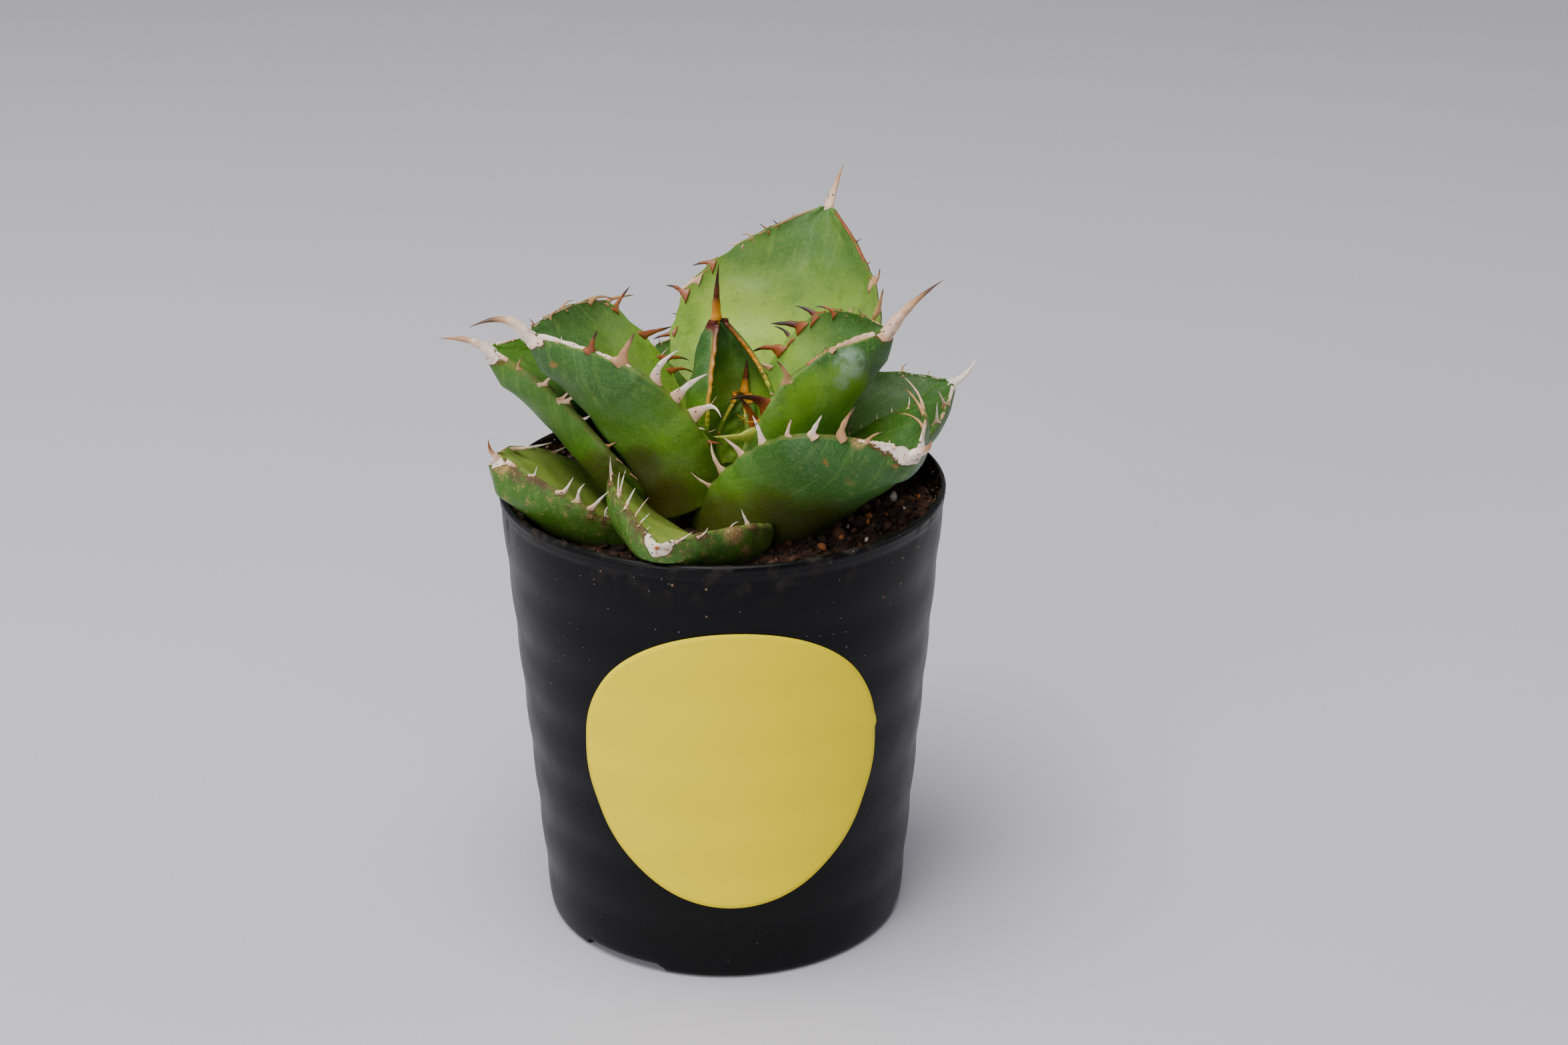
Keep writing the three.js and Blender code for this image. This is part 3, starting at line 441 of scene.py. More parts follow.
# Tones of the spines at the foot and the tip, and the share of the length where they darken.
SPINE_TONES = {1: ("amber", "rust"), 2: ("amber", "rust"), 3: ("pink", "tan"), 4: ("pink", "tan"),
               5: ("bone", "tan"), 7: ("bone", "tan"), 8: ("bone", "tan"), 9: ("bone", "bone"),
               11: ("bone", "rust"), 12: ("pink", "rust")}
SPINE_TONES_UNSEEN = ("bone", "tan")
SPINE_TONE_TURN = (0.1, 0.7)
SPINE_DARK_FROM = {1: 0.45, 2: 0.42, 3: 0.8, 4: 0.55, 5: 0.5, 7: 0.8}
SPINE_DARK_FROM_UNSEEN = 0.9
SPINE_DARK_OVER = 0.25
SPINE_DARK = 0.85

# For each tone, the share of a tooth's length where it starts to darken, and how dark it gets.
DARK_TIPS = {"bone": (0.9, 0.35), "pink": (0.85, 0.6), "tan": (0.66, 0.85), "rust": (0.55, 1.0),
             "plum": (0.35, 0.9), "amber": (0.6, 1.0), "sap": (0.97, 0.2)}
DARK_OVER = 0.25
ROOT_TONE = TONES["tan"][0]         # where a weathered tooth leaves the flesh
ROOT_STAIN = (0.55, 0.12)           # share of the length where the stain starts, and is full
ROOT_STAIN_DEPTH = 0.75
FRESH_ROOT_TONE = TONES["rust"][0]  # where a fresh one does
FRESH_ROOT_STAIN = (0.35, 0.1)

# Marks on the leaves, by leaf, kind, pixel and radius in millimetres.
SEEN_MARKS = [
    (4, "bloom", (1275, 545), 3.2),
    (4, "bloom", (1262, 575), 1.6),
    # Painted light: these fresh marks lighten leaf 4's right flank as the light from the right would.
    (4, "fresh", (1228, 615), 8.0),
    (4, "fresh", (1265, 592), 6.0),
    (4, "fresh", (1210, 660), 5.0),
    (5, "scar", (830, 547), 0.6),
    (5, "stain", (1000, 760), 6.5),
    (5, "stain", (960, 700), 4.5),
    (7, "stain", (900, 710), 5.0),
    (8, "dust", (1288, 664), 1.3),
    (8, "dust", (1352, 684), 1.1),
    # Partly painted shadow: these stains darken leaf 8's lower half near the rim, over its real brown
    # speckle.
    (8, "stain", (1150, 800), 9.0),
    (8, "stain", (1230, 810), 8.0),
    (8, "stain", (1085, 790), 7.0),
    (8, "scar", (1237, 691), 0.5),
    (8, "scar", (1262, 704), 0.3),
    (8, "scar", (1274, 722), 0.5),
    (8, "scar", (1268, 740), 0.35),
    (8, "scar", (1342, 700), 0.4),
    (8, "scar", (1190, 722), 0.3),
    (11, "dust", (1101, 803), 1.9),
    (11, "dust", (1119, 826), 1.0),
    (11, "dust", (985, 828), 1.2),
    (12, "dust", (752, 700), 1.6),
]
MARK_KINDS = ("bloom", "scar", "dust", "stain", "fresh")
MARK_EDGE = (1.25, 0.6)             # in mark radii: where a mark ends, and where it is full

# Grains of the potting mix that stand out, by kind, diameter in millimetres and pixel.
SEEN_GRAINS = [
    ("pumice", 2.9, (1339, 747)),
    ("clay", 2.2, (1301, 776)),
    ("bark", 3.0, (1331, 789)),
    ("clay", 2.4, (1233, 820)),
    ("pumice", 1.2, (1300, 810)),
    ("clay", 1.6, (1369, 709)),
    ("clay", 1.5, (1262, 806)),
    ("bark", 3.4, (1290, 748)),
    ("bark", 2.8, (1360, 770)),
    ("pumice", 1.0, (1272, 790)),
]

# How a pixel's place along an edge and a tooth's depth are found, and where rule teeth stand.
EDGE_SEARCH = (0.08, 0.99, 183)     # from, to, places tried
SWING_LIMIT = 0.8                   # a seen tooth leans in depth by up to this share of its reach
SWING_LEAST = 0.3
KNEE_SWING = 0.45
RULE_CLEAR = 0.07                   # rule teeth stop this far before the first seen one
RULE_HALF_FOOT = 0.24               # half width of the foot, as a share of the length
RULE_KNEE = (0.5, 0.25)             # share of the length along the aim, and of the bend
WEATHERING = (1.25, -0.1, 0.3)      # more for each of age, start, and seeded spread
WEATHER_DRAWS = 500
BUD_AGE = 0.15
BESIDE_RIM = 41.5                   # teeth that reach past this radius, low down, are left out
WORN_EDGES = {(8, 1), (9, -1), (9, 1), (7, -1)}
WORN_SHARE = 0.35

# Loose grains: name, how many, least and greatest radius, flatness and kind.
GRAINS = [
    ("bark_grains", 950, (0.5, 1.7), 0.55, "bark"),
    ("peat_crumbs", 1500, (0.25, 0.8), 0.8, "peat"),
    ("clay_grains", 75, (0.4, 1.3), 0.8, "clay"),
    ("pumice_grains", 26, (0.4, 1.2), 0.8, "pumice"),
]
GRAIN_SEED = 41
GRAIN_KNOCKS = (0.72, 1.18)         # seeded share of the radius at each corner
GRAIN_WIDTHS = (0.6, 1.0)           # seeded share of the length
GRAIN_INMOST = 0.06                 # share of the potting mix's area round the stem left bare
GRAIN_SINKS = (-0.1, 0.7)           # seeded height over the potting mix, in radii
GRAIN_OFF_WALL = 0.3
GRAIN_ROOM = 0.8                    # a grain keeps this many radii from the wall
SEEN_GRAIN_SHADE = 0.9
WALL_CRUMBS = 170
WALL_CRUMB_SEED = 7
WALL_CRUMB_SIZES = (0.18, 0.6)
WALL_CRUMB_START = 0.4              # lowest crumb over the potting mix
WALL_CRUMB_RISE = 4.0
WALL_CRUMB_SINK = 0.45
WALL_CRUMB_FLAT = 0.8
UP_RAY = Vector((0.03, 0.02, 1.0)).normalized()
RAY_HITS = 12
RAY_STEP = 1e-5                     # metres

# ---- Camera and light ----

IMAGE_WIDTH, IMAGE_HEIGHT = 2352, 1568
CAMERA_PLACE = np.array([0.0, -529.5, 307.6])
CAMERA_TARGET = np.array([12.4, 0.0, 84.4])
LENS_MM = 65.0
SENSOR_MM = 36.0
NEAREST_M = 0.01

# Soft round lights: name, place and width in metres, power in watts, and colour.
LIGHTS = [
    ("overhead", (-0.2, -0.25, 1.3), 1.0, 21.5, "#fffdf8"),
    ("front_left", (-0.7, -1.1, 0.55), 0.9, 9.0, "#fbfdff"),
    ("left_side", (-1.2, 0.3, 0.5), 0.7, 2.2, "#ffffff"),
    ("right_side", (1.2, 0.2, 0.55), 0.7, 1.6, "#ffffff"),
]
LIGHTS_AIM = (0, 0, 0.1)            # metres
STUDIO_SHADE = "#dfe0e6"
STUDIO_STRENGTH = 0.38
FLOOR_HALF = 4                      # metres


def unit(vectors):
    return vectors / np.linalg.norm(vectors, axis=-1, keepdims=True)


def lerp(a, b, share):
    return a + (b - a) * share


AHEAD = unit(CAMERA_TARGET - CAMERA_PLACE)
RIGHTWARD = unit(np.cross(AHEAD, (0.0, 0.0, 1.0)))
UPWARD = np.cross(RIGHTWARD, AHEAD)
PIXELS_AT_ONE = LENS_MM / SENSOR_MM * IMAGE_WIDTH


def place_in_scene(thing):
    bpy.context.scene.collection.objects.link(thing)
    return thing


def make_camera():
    data = bpy.data.cameras.new("camera")
    data.lens = LENS_MM
    data.sensor_width = SENSOR_MM
    data.clip_start = NEAREST_M
    camera = place_in_scene(bpy.data.objects.new("camera", data))
    camera.location = CAMERA_PLACE * MM
    camera.rotation_euler = Vector(AHEAD).to_track_quat("-Z", "Y").to_euler()
    bpy.context.scene.camera = camera


def pixels_of(points):
    """Where points, in millimetres, come out in the photograph."""
    ray = points - CAMERA_PLACE
    scale = PIXELS_AT_ONE / (ray @ AHEAD)
    return np.stack([IMAGE_WIDTH / 2 + ray @ RIGHTWARD * scale,
                     IMAGE_HEIGHT / 2 - ray @ UPWARD * scale], -1)


def shifted(point, pixels):
    """point moved level with the picture by so many pixels right and down."""
    depth = (point - CAMERA_PLACE) @ AHEAD
    return point + (RIGHTWARD * pixels[0] - UPWARD * pixels[1]) * depth / PIXELS_AT_ONE


def on_level(pixel, height):
    """The point of that height which the photograph shows at a pixel."""
    ray = (AHEAD * PIXELS_AT_ONE + RIGHTWARD * (pixel[0] - IMAGE_WIDTH / 2)
           - UPWARD * (pixel[1] - IMAGE_HEIGHT / 2))
    return CAMERA_PLACE + ray * (height - CAMERA_PLACE[2]) / ray[2]


# ---- Colours and nodes ----


def linear(hex_colour):
    """An sRGB hex colour as linear RGBA."""
    channels = [int(hex_colour[i:i + 2], 16) / 255 for i in (1, 3, 5)]
    return [c / 12.92 if c <= 0.04045 else ((c + 0.055) / 1.055) ** 2.4 for c in channels] + [1.0]


def per_mm(size):
    """The texture scale that gives a pattern this many millimetres across."""
    return 1 / (size * MM)


def add(tree, kind, links=None, **settings):
    """Adds a node with its settings. links maps an input's name or number to a value, to a hex
    colour or to another node's output."""
    node = tree.nodes.new("ShaderNode" + kind)
    for key, value in settings.items():
        setattr(node, key, value)
    for key, value in (links or {}).items():
        socket = node.inputs[key]
        if isinstance(value, bpy.types.NodeSocket):
            tree.links.new(value, socket)
        else:
            socket.default_value = linear(value) if isinstance(value, str) else value
    return node


def new_material(name, patterns=(), carried=()):
    """A material and its tree, then what its colours come from: the place on the piece, cloudy
    patterns, each given by its size in millimetres, detail and roughness, and the values that the
    mesh's points carry."""
    material = bpy.data.materials.new(name)
    material.use_nodes = True
    tree = material.node_tree
    tree.nodes.clear()
    place = add(tree, "TexCoord").outputs["Object"]
    sources = []
    for size, detail, rough in patterns:
        links = {"Vector": place, "Scale": per_mm(size), "Detail": detail, "Roughness": rough}
        sources.append(add(tree, "TexNoise", links).outputs["Fac"])
    for value in carried:
        sources.append(add(tree, "Attribute", attribute_name=value).outputs["Fac"])
    return material, tree, place, *sources


def share_of(tree, *masks):
    """How strongly something shows: all its masks multiplied. A mask is an output or a number, or
    an output with the two values that it is eased between and, unless they are 0 and 1, what it
    gives there."""
    share = None
    for mask in masks:
        if isinstance(mask, tuple):
            eased = add(tree, "MapRange", dict(enumerate(mask)), interpolation_type="SMOOTHSTEP")
            mask = eased.outputs[0]
        if share is None:
            share = mask
        else:
            share = add(tree, "Math", {0: share, 1: mask}, operation="MULTIPLY").outputs[0]
    return share


def total_of(tree, *parts):
    """Outputs added up, each times its own number."""
    total = 0.0
    for part, times in parts:
        links = {0: part, 1: times, 2: total}
        total = add(tree, "Math", links, operation="MULTIPLY_ADD").outputs[0]
    return total


def coat(tree, under, over, *masks, mode="MIX"):
    """A colour laid over another as strongly as all of its masks let it show."""
    links = {0: share_of(tree, *masks), 6: under, 7: over}
    return add(tree, "Mix", links, data_type="RGBA", blend_type=mode).outputs[2]


def specks(tree, place, cell, reach, keep):
    """Small round specks: one for each cell whose own random value is under keep."""
    cells = add(tree, "TexVoronoi", {"Vector": place, "Scale": per_mm(cell)})
    values = add(tree, "SeparateColor", {0: cells.outputs["Color"]})
    kept = add(tree, "Math", {0: values.outputs[0], 1: keep}, operation="LESS_THAN").outputs[0]
    return share_of(tree, (cells.outputs["Distance"], reach, reach * 0.5), kept)


def finish_with(tree, links, bump_height=None, bump_mm=0.1):
    """Ends a material in a Principled shader, with a bump of the given depth."""
    shader = add(tree, "BsdfPrincipled", links)
    if bump_height is not None:
        bump = add(tree, "Bump", {"Height": bump_height, "Distance": bump_mm * MM, "Strength": 1.0})
        tree.links.new(bump.outputs[0], shader.inputs["Normal"])
    add(tree, "OutputMaterial", {0: shader.outputs[0]})


# ---- Materials. Their patterns and heights are in millimetres ----


def moulded_polypropylene():
    """Black polypropylene, injection moulded: a satin skin with soft highlights at the sides, a
    film of dried soil under the rim, tan splashes, white dust and fine upright scuffs."""
    material, tree, place, clouds, smears, cakes, sheen, grain = new_material(
        "moulded_polypropylene",
        [(18, 3, 0.5), (4, 5, 0.5), (2.4, 6, 0.7), (9, 4, 0.5), (0.7, 3, 0.5)])
    height = add(tree, "SeparateXYZ", {0: place}).outputs[2]
    colour = coat(tree, "#050506", "#09090a", clouds)
    film = share_of(tree, (smears, 0.5, 0.72), (height, 84 * MM, POT_HEIGHT * MM))
    colour = coat(tree, colour, "#5d5146", film, 0.22)
    # Soil that dried on the inside of the wall: inside is where the wall's own taper puts it.
    level = add(tree, "VectorMath", {0: place, 1: (1.0, 1.0, 0.0)}, operation="MULTIPLY").outputs[0]
    from_middle = add(tree, "VectorMath", {0: level}, operation="LENGTH").outputs["Value"]
    taper = (POT_FOOT_RADIUS - POT_TOP_RADIUS) / POT_HEIGHT
    straightened = total_of(tree, (from_middle, 1.0), (height, taper))
    inside = (straightened, (POT_FOOT_RADIUS - 0.7) * MM, (POT_FOOT_RADIUS - 1.0) * MM)
    colour = coat(tree, colour, "#94704e", inside, (cakes, 0.46, 0.62),
                  (height, 93.5 * MM, 88 * MM, 0.1, 0.75))
    splashes = share_of(tree, specks(tree, place, 3.4, 0.1, 0.22),
                        (height, 70 * MM, 93 * MM, 0.05, 1.0))
    colour = coat(tree, colour, "#8a6e50", splashes)
    both = {0: specks(tree, place, 2.9, 0.06, 0.3), 1: specks(tree, place, 1.3, 0.1, 0.2)}
    dust = add(tree, "Math", both, operation="MAXIMUM").outputs[0]
    colour = coat(tree, colour, "#8b8d90", dust, (height, 30 * MM, 84 * MM, 0.2, 1.0))
    # The scuffs' pattern is stretched upright.
    tall = add(tree, "Mapping", {"Vector": place, "Scale": (1.0, 1.0, 0.12)}).outputs[0]
    links = {"Vector": tall, "Scale": per_mm(1.4), "Detail": 6.0, "Roughness": 0.7}
    scuffs = add(tree, "TexNoise", links).outputs["Fac"]
    colour = coat(tree, colour, "#5a5a5c", (scuffs, 0.62, 0.76), 0.09)
    satin = share_of(tree, (sheen, 0.3, 0.7, 0.32, 0.4))
    rough = total_of(tree, (satin, 1.0), (film, 0.35))
    bump = total_of(tree, (grain, 1.0), (splashes, 1.5))
    links = {"Base Color": colour, "Roughness": rough, "IOR": 1.49, "Specular IOR Level": 0.15}
    finish_with(tree, links, bump, 0.012)
    return material


def yellow_vinyl():
    """Yellow self-adhesive vinyl: an even lemon yellow with a soft sheen, slightly wavy where it
    was pressed on, with a few stuck crumbs."""
    material, tree, place, clouds, grime, waves = new_material(
        "yellow_vinyl", [(14, 3, 0.5), (3.0, 6, 0.7), (9, 2, 0.5)])
    colour = coat(tree, "#f6dc00", "#fbe400", clouds)
    colour = coat(tree, colour, "#b59a20", (grime, 0.62, 0.8, 0.0, 0.16))
    crumbs = specks(tree, place, 5.0, 0.05, 0.12)
    colour = coat(tree, colour, "#a8702a", crumbs)
    links = {"Base Color": colour, "Roughness": 0.42, "IOR": 1.5, "Specular IOR Level": 0.1}
    finish_with(tree, links, total_of(tree, (waves, 1.0), (crumbs, 0.4)), 0.1)
    return material


def horn_colour(tree, tone, clouds, stains):
    """The tones of dry horn in order, clouded brown, with brown stains on the pale ones."""
    steps = add(tree, "ValToRGB", {0: tone})
    band = steps.color_ramp
    band.elements[0].color = linear(TONES["bone"][1])
    band.elements[1].color = linear(TONES["sap"][1])
    for name in ("pink", "tan", "rust", "plum", "amber"):
        position, shade = TONES[name]
        band.elements.new(position).color = linear(shade)
    colour = coat(tree, steps.outputs[0], "#b98058", (clouds, 0.35, 0.7, 0.0, 0.35), mode="MULTIPLY")
    return coat(tree, colour, "#8a4f2c", (stains, 0.55, 0.68), (tone, 0.45, 0.2), 0.55)


def pinholes(tree, place, tone):
    """Black pinholes in weathered horn, about a millimetre apart."""
    return share_of(tree, specks(tree, place, 1.05, 0.24, 0.5), (tone, 0.45, 0.25))


def leaf_skin():
    """Living agave skin: satin, finely grained, yellow green where it was folded in the bud, blue
    green towards the tip, olive brown and speckled at its foot, with a thin bloom, dust on the old
    leaves, a narrow rim and a horny tip. The brown foot is strongest on the undersides, where it is
    partly painted shade; the old leaves' upper face carries a painted highlight, and leaf 4's right
    flank painted light."""
    (material, tree, place, broad, middle, fine, haze, powder, stains, along, under, age, edge, tone,
     horny, bloomed, scarred, dusted, stained, fresh) = new_material(
        "leaf_skin",
        [(11, 4, 0.5), (2.6, 5, 0.6), (0.5, 4, 0.65), (8, 3, 0.55), (1.5, 6, 0.75), (1.3, 5, 0.65)],
        ["along", "under", "age", "edge_mm", "tone", "horny", *MARK_KINDS])
    upper = add(tree, "Math", {0: 1.0, 1: under}, operation="SUBTRACT").outputs[0]
    # Young and old flesh, then the light face near the foot, a painted highlight on the old leaves'
    # upper face, and the dark tip.
    colour = coat(tree, "#769c2a", "#4a7518", (age, 0.0, 0.7))
    colour = coat(tree, colour, "#abc943", (along, 0.9, 0.45), (age, 0.85, 0.25),
                  (upper, 0.0, 1.0, 0.05, 0.85))
    # Painted highlight: the old leaves' upper face is lightened as if lit from above.
    colour = coat(tree, colour, "#a3b64c", upper, (age, 0.85, 1.0, 0.0, 0.75))
    colour = coat(tree, colour, "#26501f", (along, 0.4, 0.8), (broad, 0.25, 0.6, 0.7, 1.0),
                  (under, 0.0, 1.0, 0.8, 1.0), (age, 0.15, 0.5, 0.75, 1.0), (age, 0.76, 0.8, 1.0, 0.35))
    # Bright fresh green along the edges, halfway up, and the fresh marks, which are painted light on
    # leaf 4's right flank.
    lively_green_and_painted_light = share_of(tree, (along, 0.2, 0.4), (along, 0.6, 0.4), (age, 0.9, 0.6), (edge, 9.0, 3.0),
                      (middle, 0.35, 0.6, 0.5, 1.0))
    # The fresh marks are painted light: they lighten leaf 4's right flank as the light from the right
    # would.
    lively_green_and_painted_light = add(tree, "Math", {0: lively_green_and_painted_light, 1: fresh}, operation="MAXIMUM").outputs[0]
    colour = coat(tree, colour, "#7aa618", lively_green_and_painted_light, 0.7)
    # Clouds, streaks along the leaf and mottling.
    colour = coat(tree, colour, "#3b6b22", (broad, 0.42, 0.68, 0.0, 0.45))
    streak_place = add(tree, "UVMap", uv_map="leaf").outputs[0]
    streak = add(tree, "TexNoise", {"Vector": streak_place, "Scale": 1.0, "Detail": 4.0}).outputs["Fac"]
    colour = coat(tree, colour, "#86a844", (streak, 0.5, 0.8, 0.0, 0.25))
    colour = coat(tree, colour, "#2f5a1a", (middle, 0.5, 0.75, 0.0, 0.4))
    colour = coat(tree, colour, "#93a552", (middle, 0.45, 0.25, 0.0, 0.25))
    # The brown foot, strongest on the undersides, where it is partly painted shade; stains, partly
    # painted shadow on leaf 8's lower half; flecks, dots and a fine pale grain.
    colour = coat(tree, colour, "#6b5219", (along, 0.4, 0.1), (under, 0.0, 1.0, 0.25, 1.0),
                  (fine, 0.3, 0.7, 0.55, 1.0), (age, 0.3, 0.6), (edge, 2.0, 8.0, 0.3, 1.0))
    # Stains are real brown speckle, and on leaf 8's lower half also painted shadow.
    colour = coat(tree, colour, "#44320f", stained, (fine, 0.3, 0.65, 0.35, 0.95))
    colour = coat(tree, colour, "#2d3a12", specks(tree, place, 1.5, 0.16, 0.4), 0.35)
    dots = specks(tree, place, 0.6, 0.3, 0.5)
    colour = coat(tree, colour, "#33230f", dots, (along, 0.75, 0.2, 0.08, 0.6),
                  (age, 0.3, 0.6, 0.2, 1.0))
    colour = coat(tree, colour, "#93aa62", (fine, 0.45, 0.75, 0.0, 0.2))
    # The narrow rim, bloom, scars, the worn edge of the old leaves, and dust.
    rim_colour = coat(tree, "#7d8c34", "#5d3c22", (age, 0.6, 0.95))
    colour = coat(tree, colour, rim_colour, (edge, 0.3, 0.08), (middle, 0.35, 0.6, 0.0, 0.6))
    both = {0: share_of(tree, (haze, 0.4, 0.75), (age, 0.95, 0.4, 0.03, 0.08)),
            1: share_of(tree, bloomed, (middle, 0.3, 0.62, 0.05, 0.55))}
    bloom = add(tree, "Math", both, operation="MAXIMUM").outputs[0]
    colour = coat(tree, colour, "#a4bfa4", bloom)
    colour = coat(tree, colour, "#a8662c", scarred, (middle, 0.3, 0.6, 0.3, 0.95))
    colour = coat(tree, colour, "#56352a", (edge, 2.0, 0.3), (age, 0.8, 1.0, 0.0, 0.6),
                  (middle, 0.42, 0.62, 0.1, 1.0))
    both = {0: share_of(tree, (powder, 0.54, 0.68), (age, 0.85, 1.0, 0.0, 0.75)),
            1: share_of(tree, dusted, (fine, 0.3, 0.6))}
    dust = add(tree, "Math", both, operation="MAXIMUM").outputs[0]
    colour = coat(tree, colour, "#b08d5c", dust)
    # The horny tip, with a ragged brown border.
    ragged = total_of(tree, (horny, 1.0), (share_of(tree, (middle, 0.3, 0.7, -0.12, 0.12)), 1.0))
    horn_share = share_of(tree, (ragged, 0.46, 0.54))
    horn = coat(tree, horn_colour(tree, tone, middle, stains), "#1c120c", pinholes(tree, place, tone))
    colour = coat(tree, colour, horn, horn_share)
    colour = coat(tree, colour, "#5e2c10", (ragged, 0.38, 0.46), (ragged, 0.54, 0.48), 0.7)
    satin = share_of(tree, (broad, 0.3, 0.7, 0.4, 0.54))
    rough = total_of(tree, (satin, 1.0), (dust, 0.4))
    bump = total_of(tree, (fine, 0.6), (dots, -0.3), (streak, 0.8), (middle, 1.2), (horn_share, 1.5))
    links = {"Base Color": colour, "Roughness": rough, "IOR": 1.45, "Subsurface Weight": 0.14,
             "Subsurface Radius": (0.5, 1.0, 0.2), "Subsurface Scale": 1.2 * MM,
             "Specular IOR Level": 0.28}
    finish_with(tree, links, bump, 0.1)
    return material


def leaf_horn():
    """Dry horn of the edges, teeth and spines: amber and red brown while fresh, weathered to bone
    with brown stains and black pinholes, and near black at the points."""
    material, tree, place, clouds, stains, tone, dark = new_material(
        "leaf_horn", [(1.8, 4, 0.6), (1.3, 5, 0.65)], ["tone", "dark"])
    holes = pinholes(tree, place, tone)
    colour = coat(tree, horn_colour(tree, tone, clouds, stains), "#1c120c", holes)
    colour = coat(tree, colour, "#2c1210", dark)
    rough = share_of(tree, (tone, 0.1, 0.6, 0.62, 0.38))
    links = {"Base Color": colour, "Roughness": rough, "IOR": 1.54, "Subsurface Weight": 0.08,
             "Subsurface Radius": (1.0, 0.6, 0.35), "Subsurface Scale": 0.7 * MM}
    finish_with(tree, links, total_of(tree, (clouds, 1.0), (holes, -0.8)), 0.08)
    return material


def crumb_material(name, dark, pale, pit, rough):
    """Loose grains: each takes its own shade between two colours, with pitted faces."""
    material, tree, _, pits, shade = new_material(name, [(pit, 5, 0.7)], ["shade"])
    colour = coat(tree, coat(tree, dark, pale, shade), dark, (pits, 0.45, 0.7, 0.0, 0.6))
    finish_with(tree, {"Base Color": colour, "Roughness": rough}, pits, 0.25)
    return material


def potting_mix():
    """Fine peat and bark dust between the grains: black brown, matt, crumbly."""
    material, tree, place, grain = new_material("potting_mix", [(1.3, 6, 0.75)])
    colour = coat(tree, "#1d120a", "#553521", (grain, 0.35, 0.65))
    colour = coat(tree, colour, "#7a5638", specks(tree, place, 1.6, 0.22, 0.15), 0.7)
    finish_with(tree, {"Base Color": colour, "Roughness": 0.9}, grain, 0.5)
    return material


def stem_fibre():
    """Green living stem with darker leaf scars, seen only between the leaves' feet."""
    material, tree, _, scars = new_material("stem_fibre", [(1.6, 4, 0.5)])
    colour = coat(tree, "#5f7f2a", "#4a5a22", scars)
    finish_with(tree, {"Base Color": colour, "Roughness": 0.75}, scars, 0.2)
    return material


def seamless_floor():
    """Matt cool grey backdrop, nearly even."""
    material, tree, _, clouds = new_material("seamless_floor", [(160, 3, 0.5)])
    colour = coat(tree, "#c6c4ce", "#cbc9d3", clouds)
    finish_with(tree, {"Base Color": colour, "Roughness": 0.75})
    return material


# ---- Meshes ----


def new_piece(name, points, faces, material, replaced=()):
    """A smooth mesh from points in millimetres, riding on the root body."""
    mesh = bpy.data.meshes.new(name)
    mesh.from_pydata([tuple(p) for p in np.asarray(points) * MM], [], [tuple(f) for f in faces])
    mesh.polygons.foreach_set("use_smooth", [True] * len(mesh.polygons))
    mesh.materials.append(material)
    mesh.update()
    piece = place_in_scene(bpy.data.objects.new(name, mesh))
    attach(piece, "root")
    if replaced:
        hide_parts(*replaced)
    return piece


def set_attribute(piece, name, values):
    layer = piece.data.attributes.new(name, "FLOAT", "POINT")
    layer.data.foreach_set("value", np.asarray(values, dtype=np.float32).ravel())


def set_uv(piece, name, coordinates):
    """A UV map from one pair of coordinates for each vertex."""
    layer = piece.data.uv_layers.new(name=name)
    corners = np.zeros(len(piece.data.loops), dtype=np.int32)
    piece.data.loops.foreach_get("vertex_index", corners)
    layer.data.foreach_set("uv", np.asarray(coordinates, dtype=np.float32)[corners].ravel())


def chance(seed, draw):
    """The same repeatable draw as the solids use."""
    wave = math.sin(seed * 78.233 + draw * 12.9898) * 43758.5453
    return wave - math.floor(wave)


def smooth_step(value, low, high):
    share = np.clip((value - low) / (high - low), 0, 1)
    return share * share * (3 - 2 * share)


def in_the_box(points):
    """Points kept a hair inside the box that the solids fill."""
    low = np.array(cad_box[0]) / MM + BOX_INSIDE
    high = np.array(cad_box[1]) / MM - BOX_INSIDE
    return np.clip(points, low, high)


def round_turns(count):
    """Angles evenly round a circle, in radians."""
    return np.linspace(0, 2 * math.pi, count, endpoint=False)


def neighbours(count, first=0):
    """Each point of a closed ring with the next one."""
    return [(first + j, first + (j + 1) % count) for j in range(count)]


def ring_faces(rows, size, first=0):
    """Faces between rows of points that each close on themselves."""
    return [(a, b, b + size, a + size) for i in range(rows - 1)
            for a, b in neighbours(size, first + i * size)]


def tube_faces(rows, size):
    """Faces of a tube of rings that is closed at each end by a single point."""
    faces = ring_faces(rows, size, 1)
    last = rows * size + 1
    for j, after in neighbours(size):
        faces.append((0, 1 + after, 1 + j))
        faces.append((last, last - size + j, last - size + after))
    return faces


class Mesh:
    """Points, faces and vertex values gathered from many small parts."""

    def __init__(self, *value_names):
        self.points = []
        self.faces = []
        self.values = {name: [] for name in value_names}

    def add(self, points, faces, **values):
        first = len(self.points)
        self.points.extend(points)
        self.faces.extend(tuple(k + first for k in face) for face in faces)
        for name, given in values.items():
            if np.ndim(given) == 0:
                given = [given] * len(points)
            self.values[name].extend(given)

    def piece(self, name, material, slot, replaced=()):
        made = new_piece(name, in_the_box(np.array(self.points)), self.faces, material, replaced)
        for key, given in self.values.items():
            set_attribute(made, key, given)


def swept(middles, wides, thins, half_wide, half_thick, sides):
    """A tube of elliptical rings: points and faces, closed at both ends by a point."""
    angles = round_turns(sides)
    rings = (middles[:, None, :]
             + wides[:, None, :] * (half_wide[:, None] * np.cos(angles))[..., None]
             + thins[:, None, :] * (half_thick[:, None] * np.sin(angles))[..., None])
    points = [middles[0], *rings.reshape(-1, 3), middles[-1]]
    return points, tube_faces(len(middles), sides)


def on_rings(values, sides):
    """One value for each ring of a swept tube, given to all of the tube's points."""
    return np.concatenate([[values[0]], np.repeat(values, sides), [values[-1]]])


# ---- The leaf's form, as in the solids ----


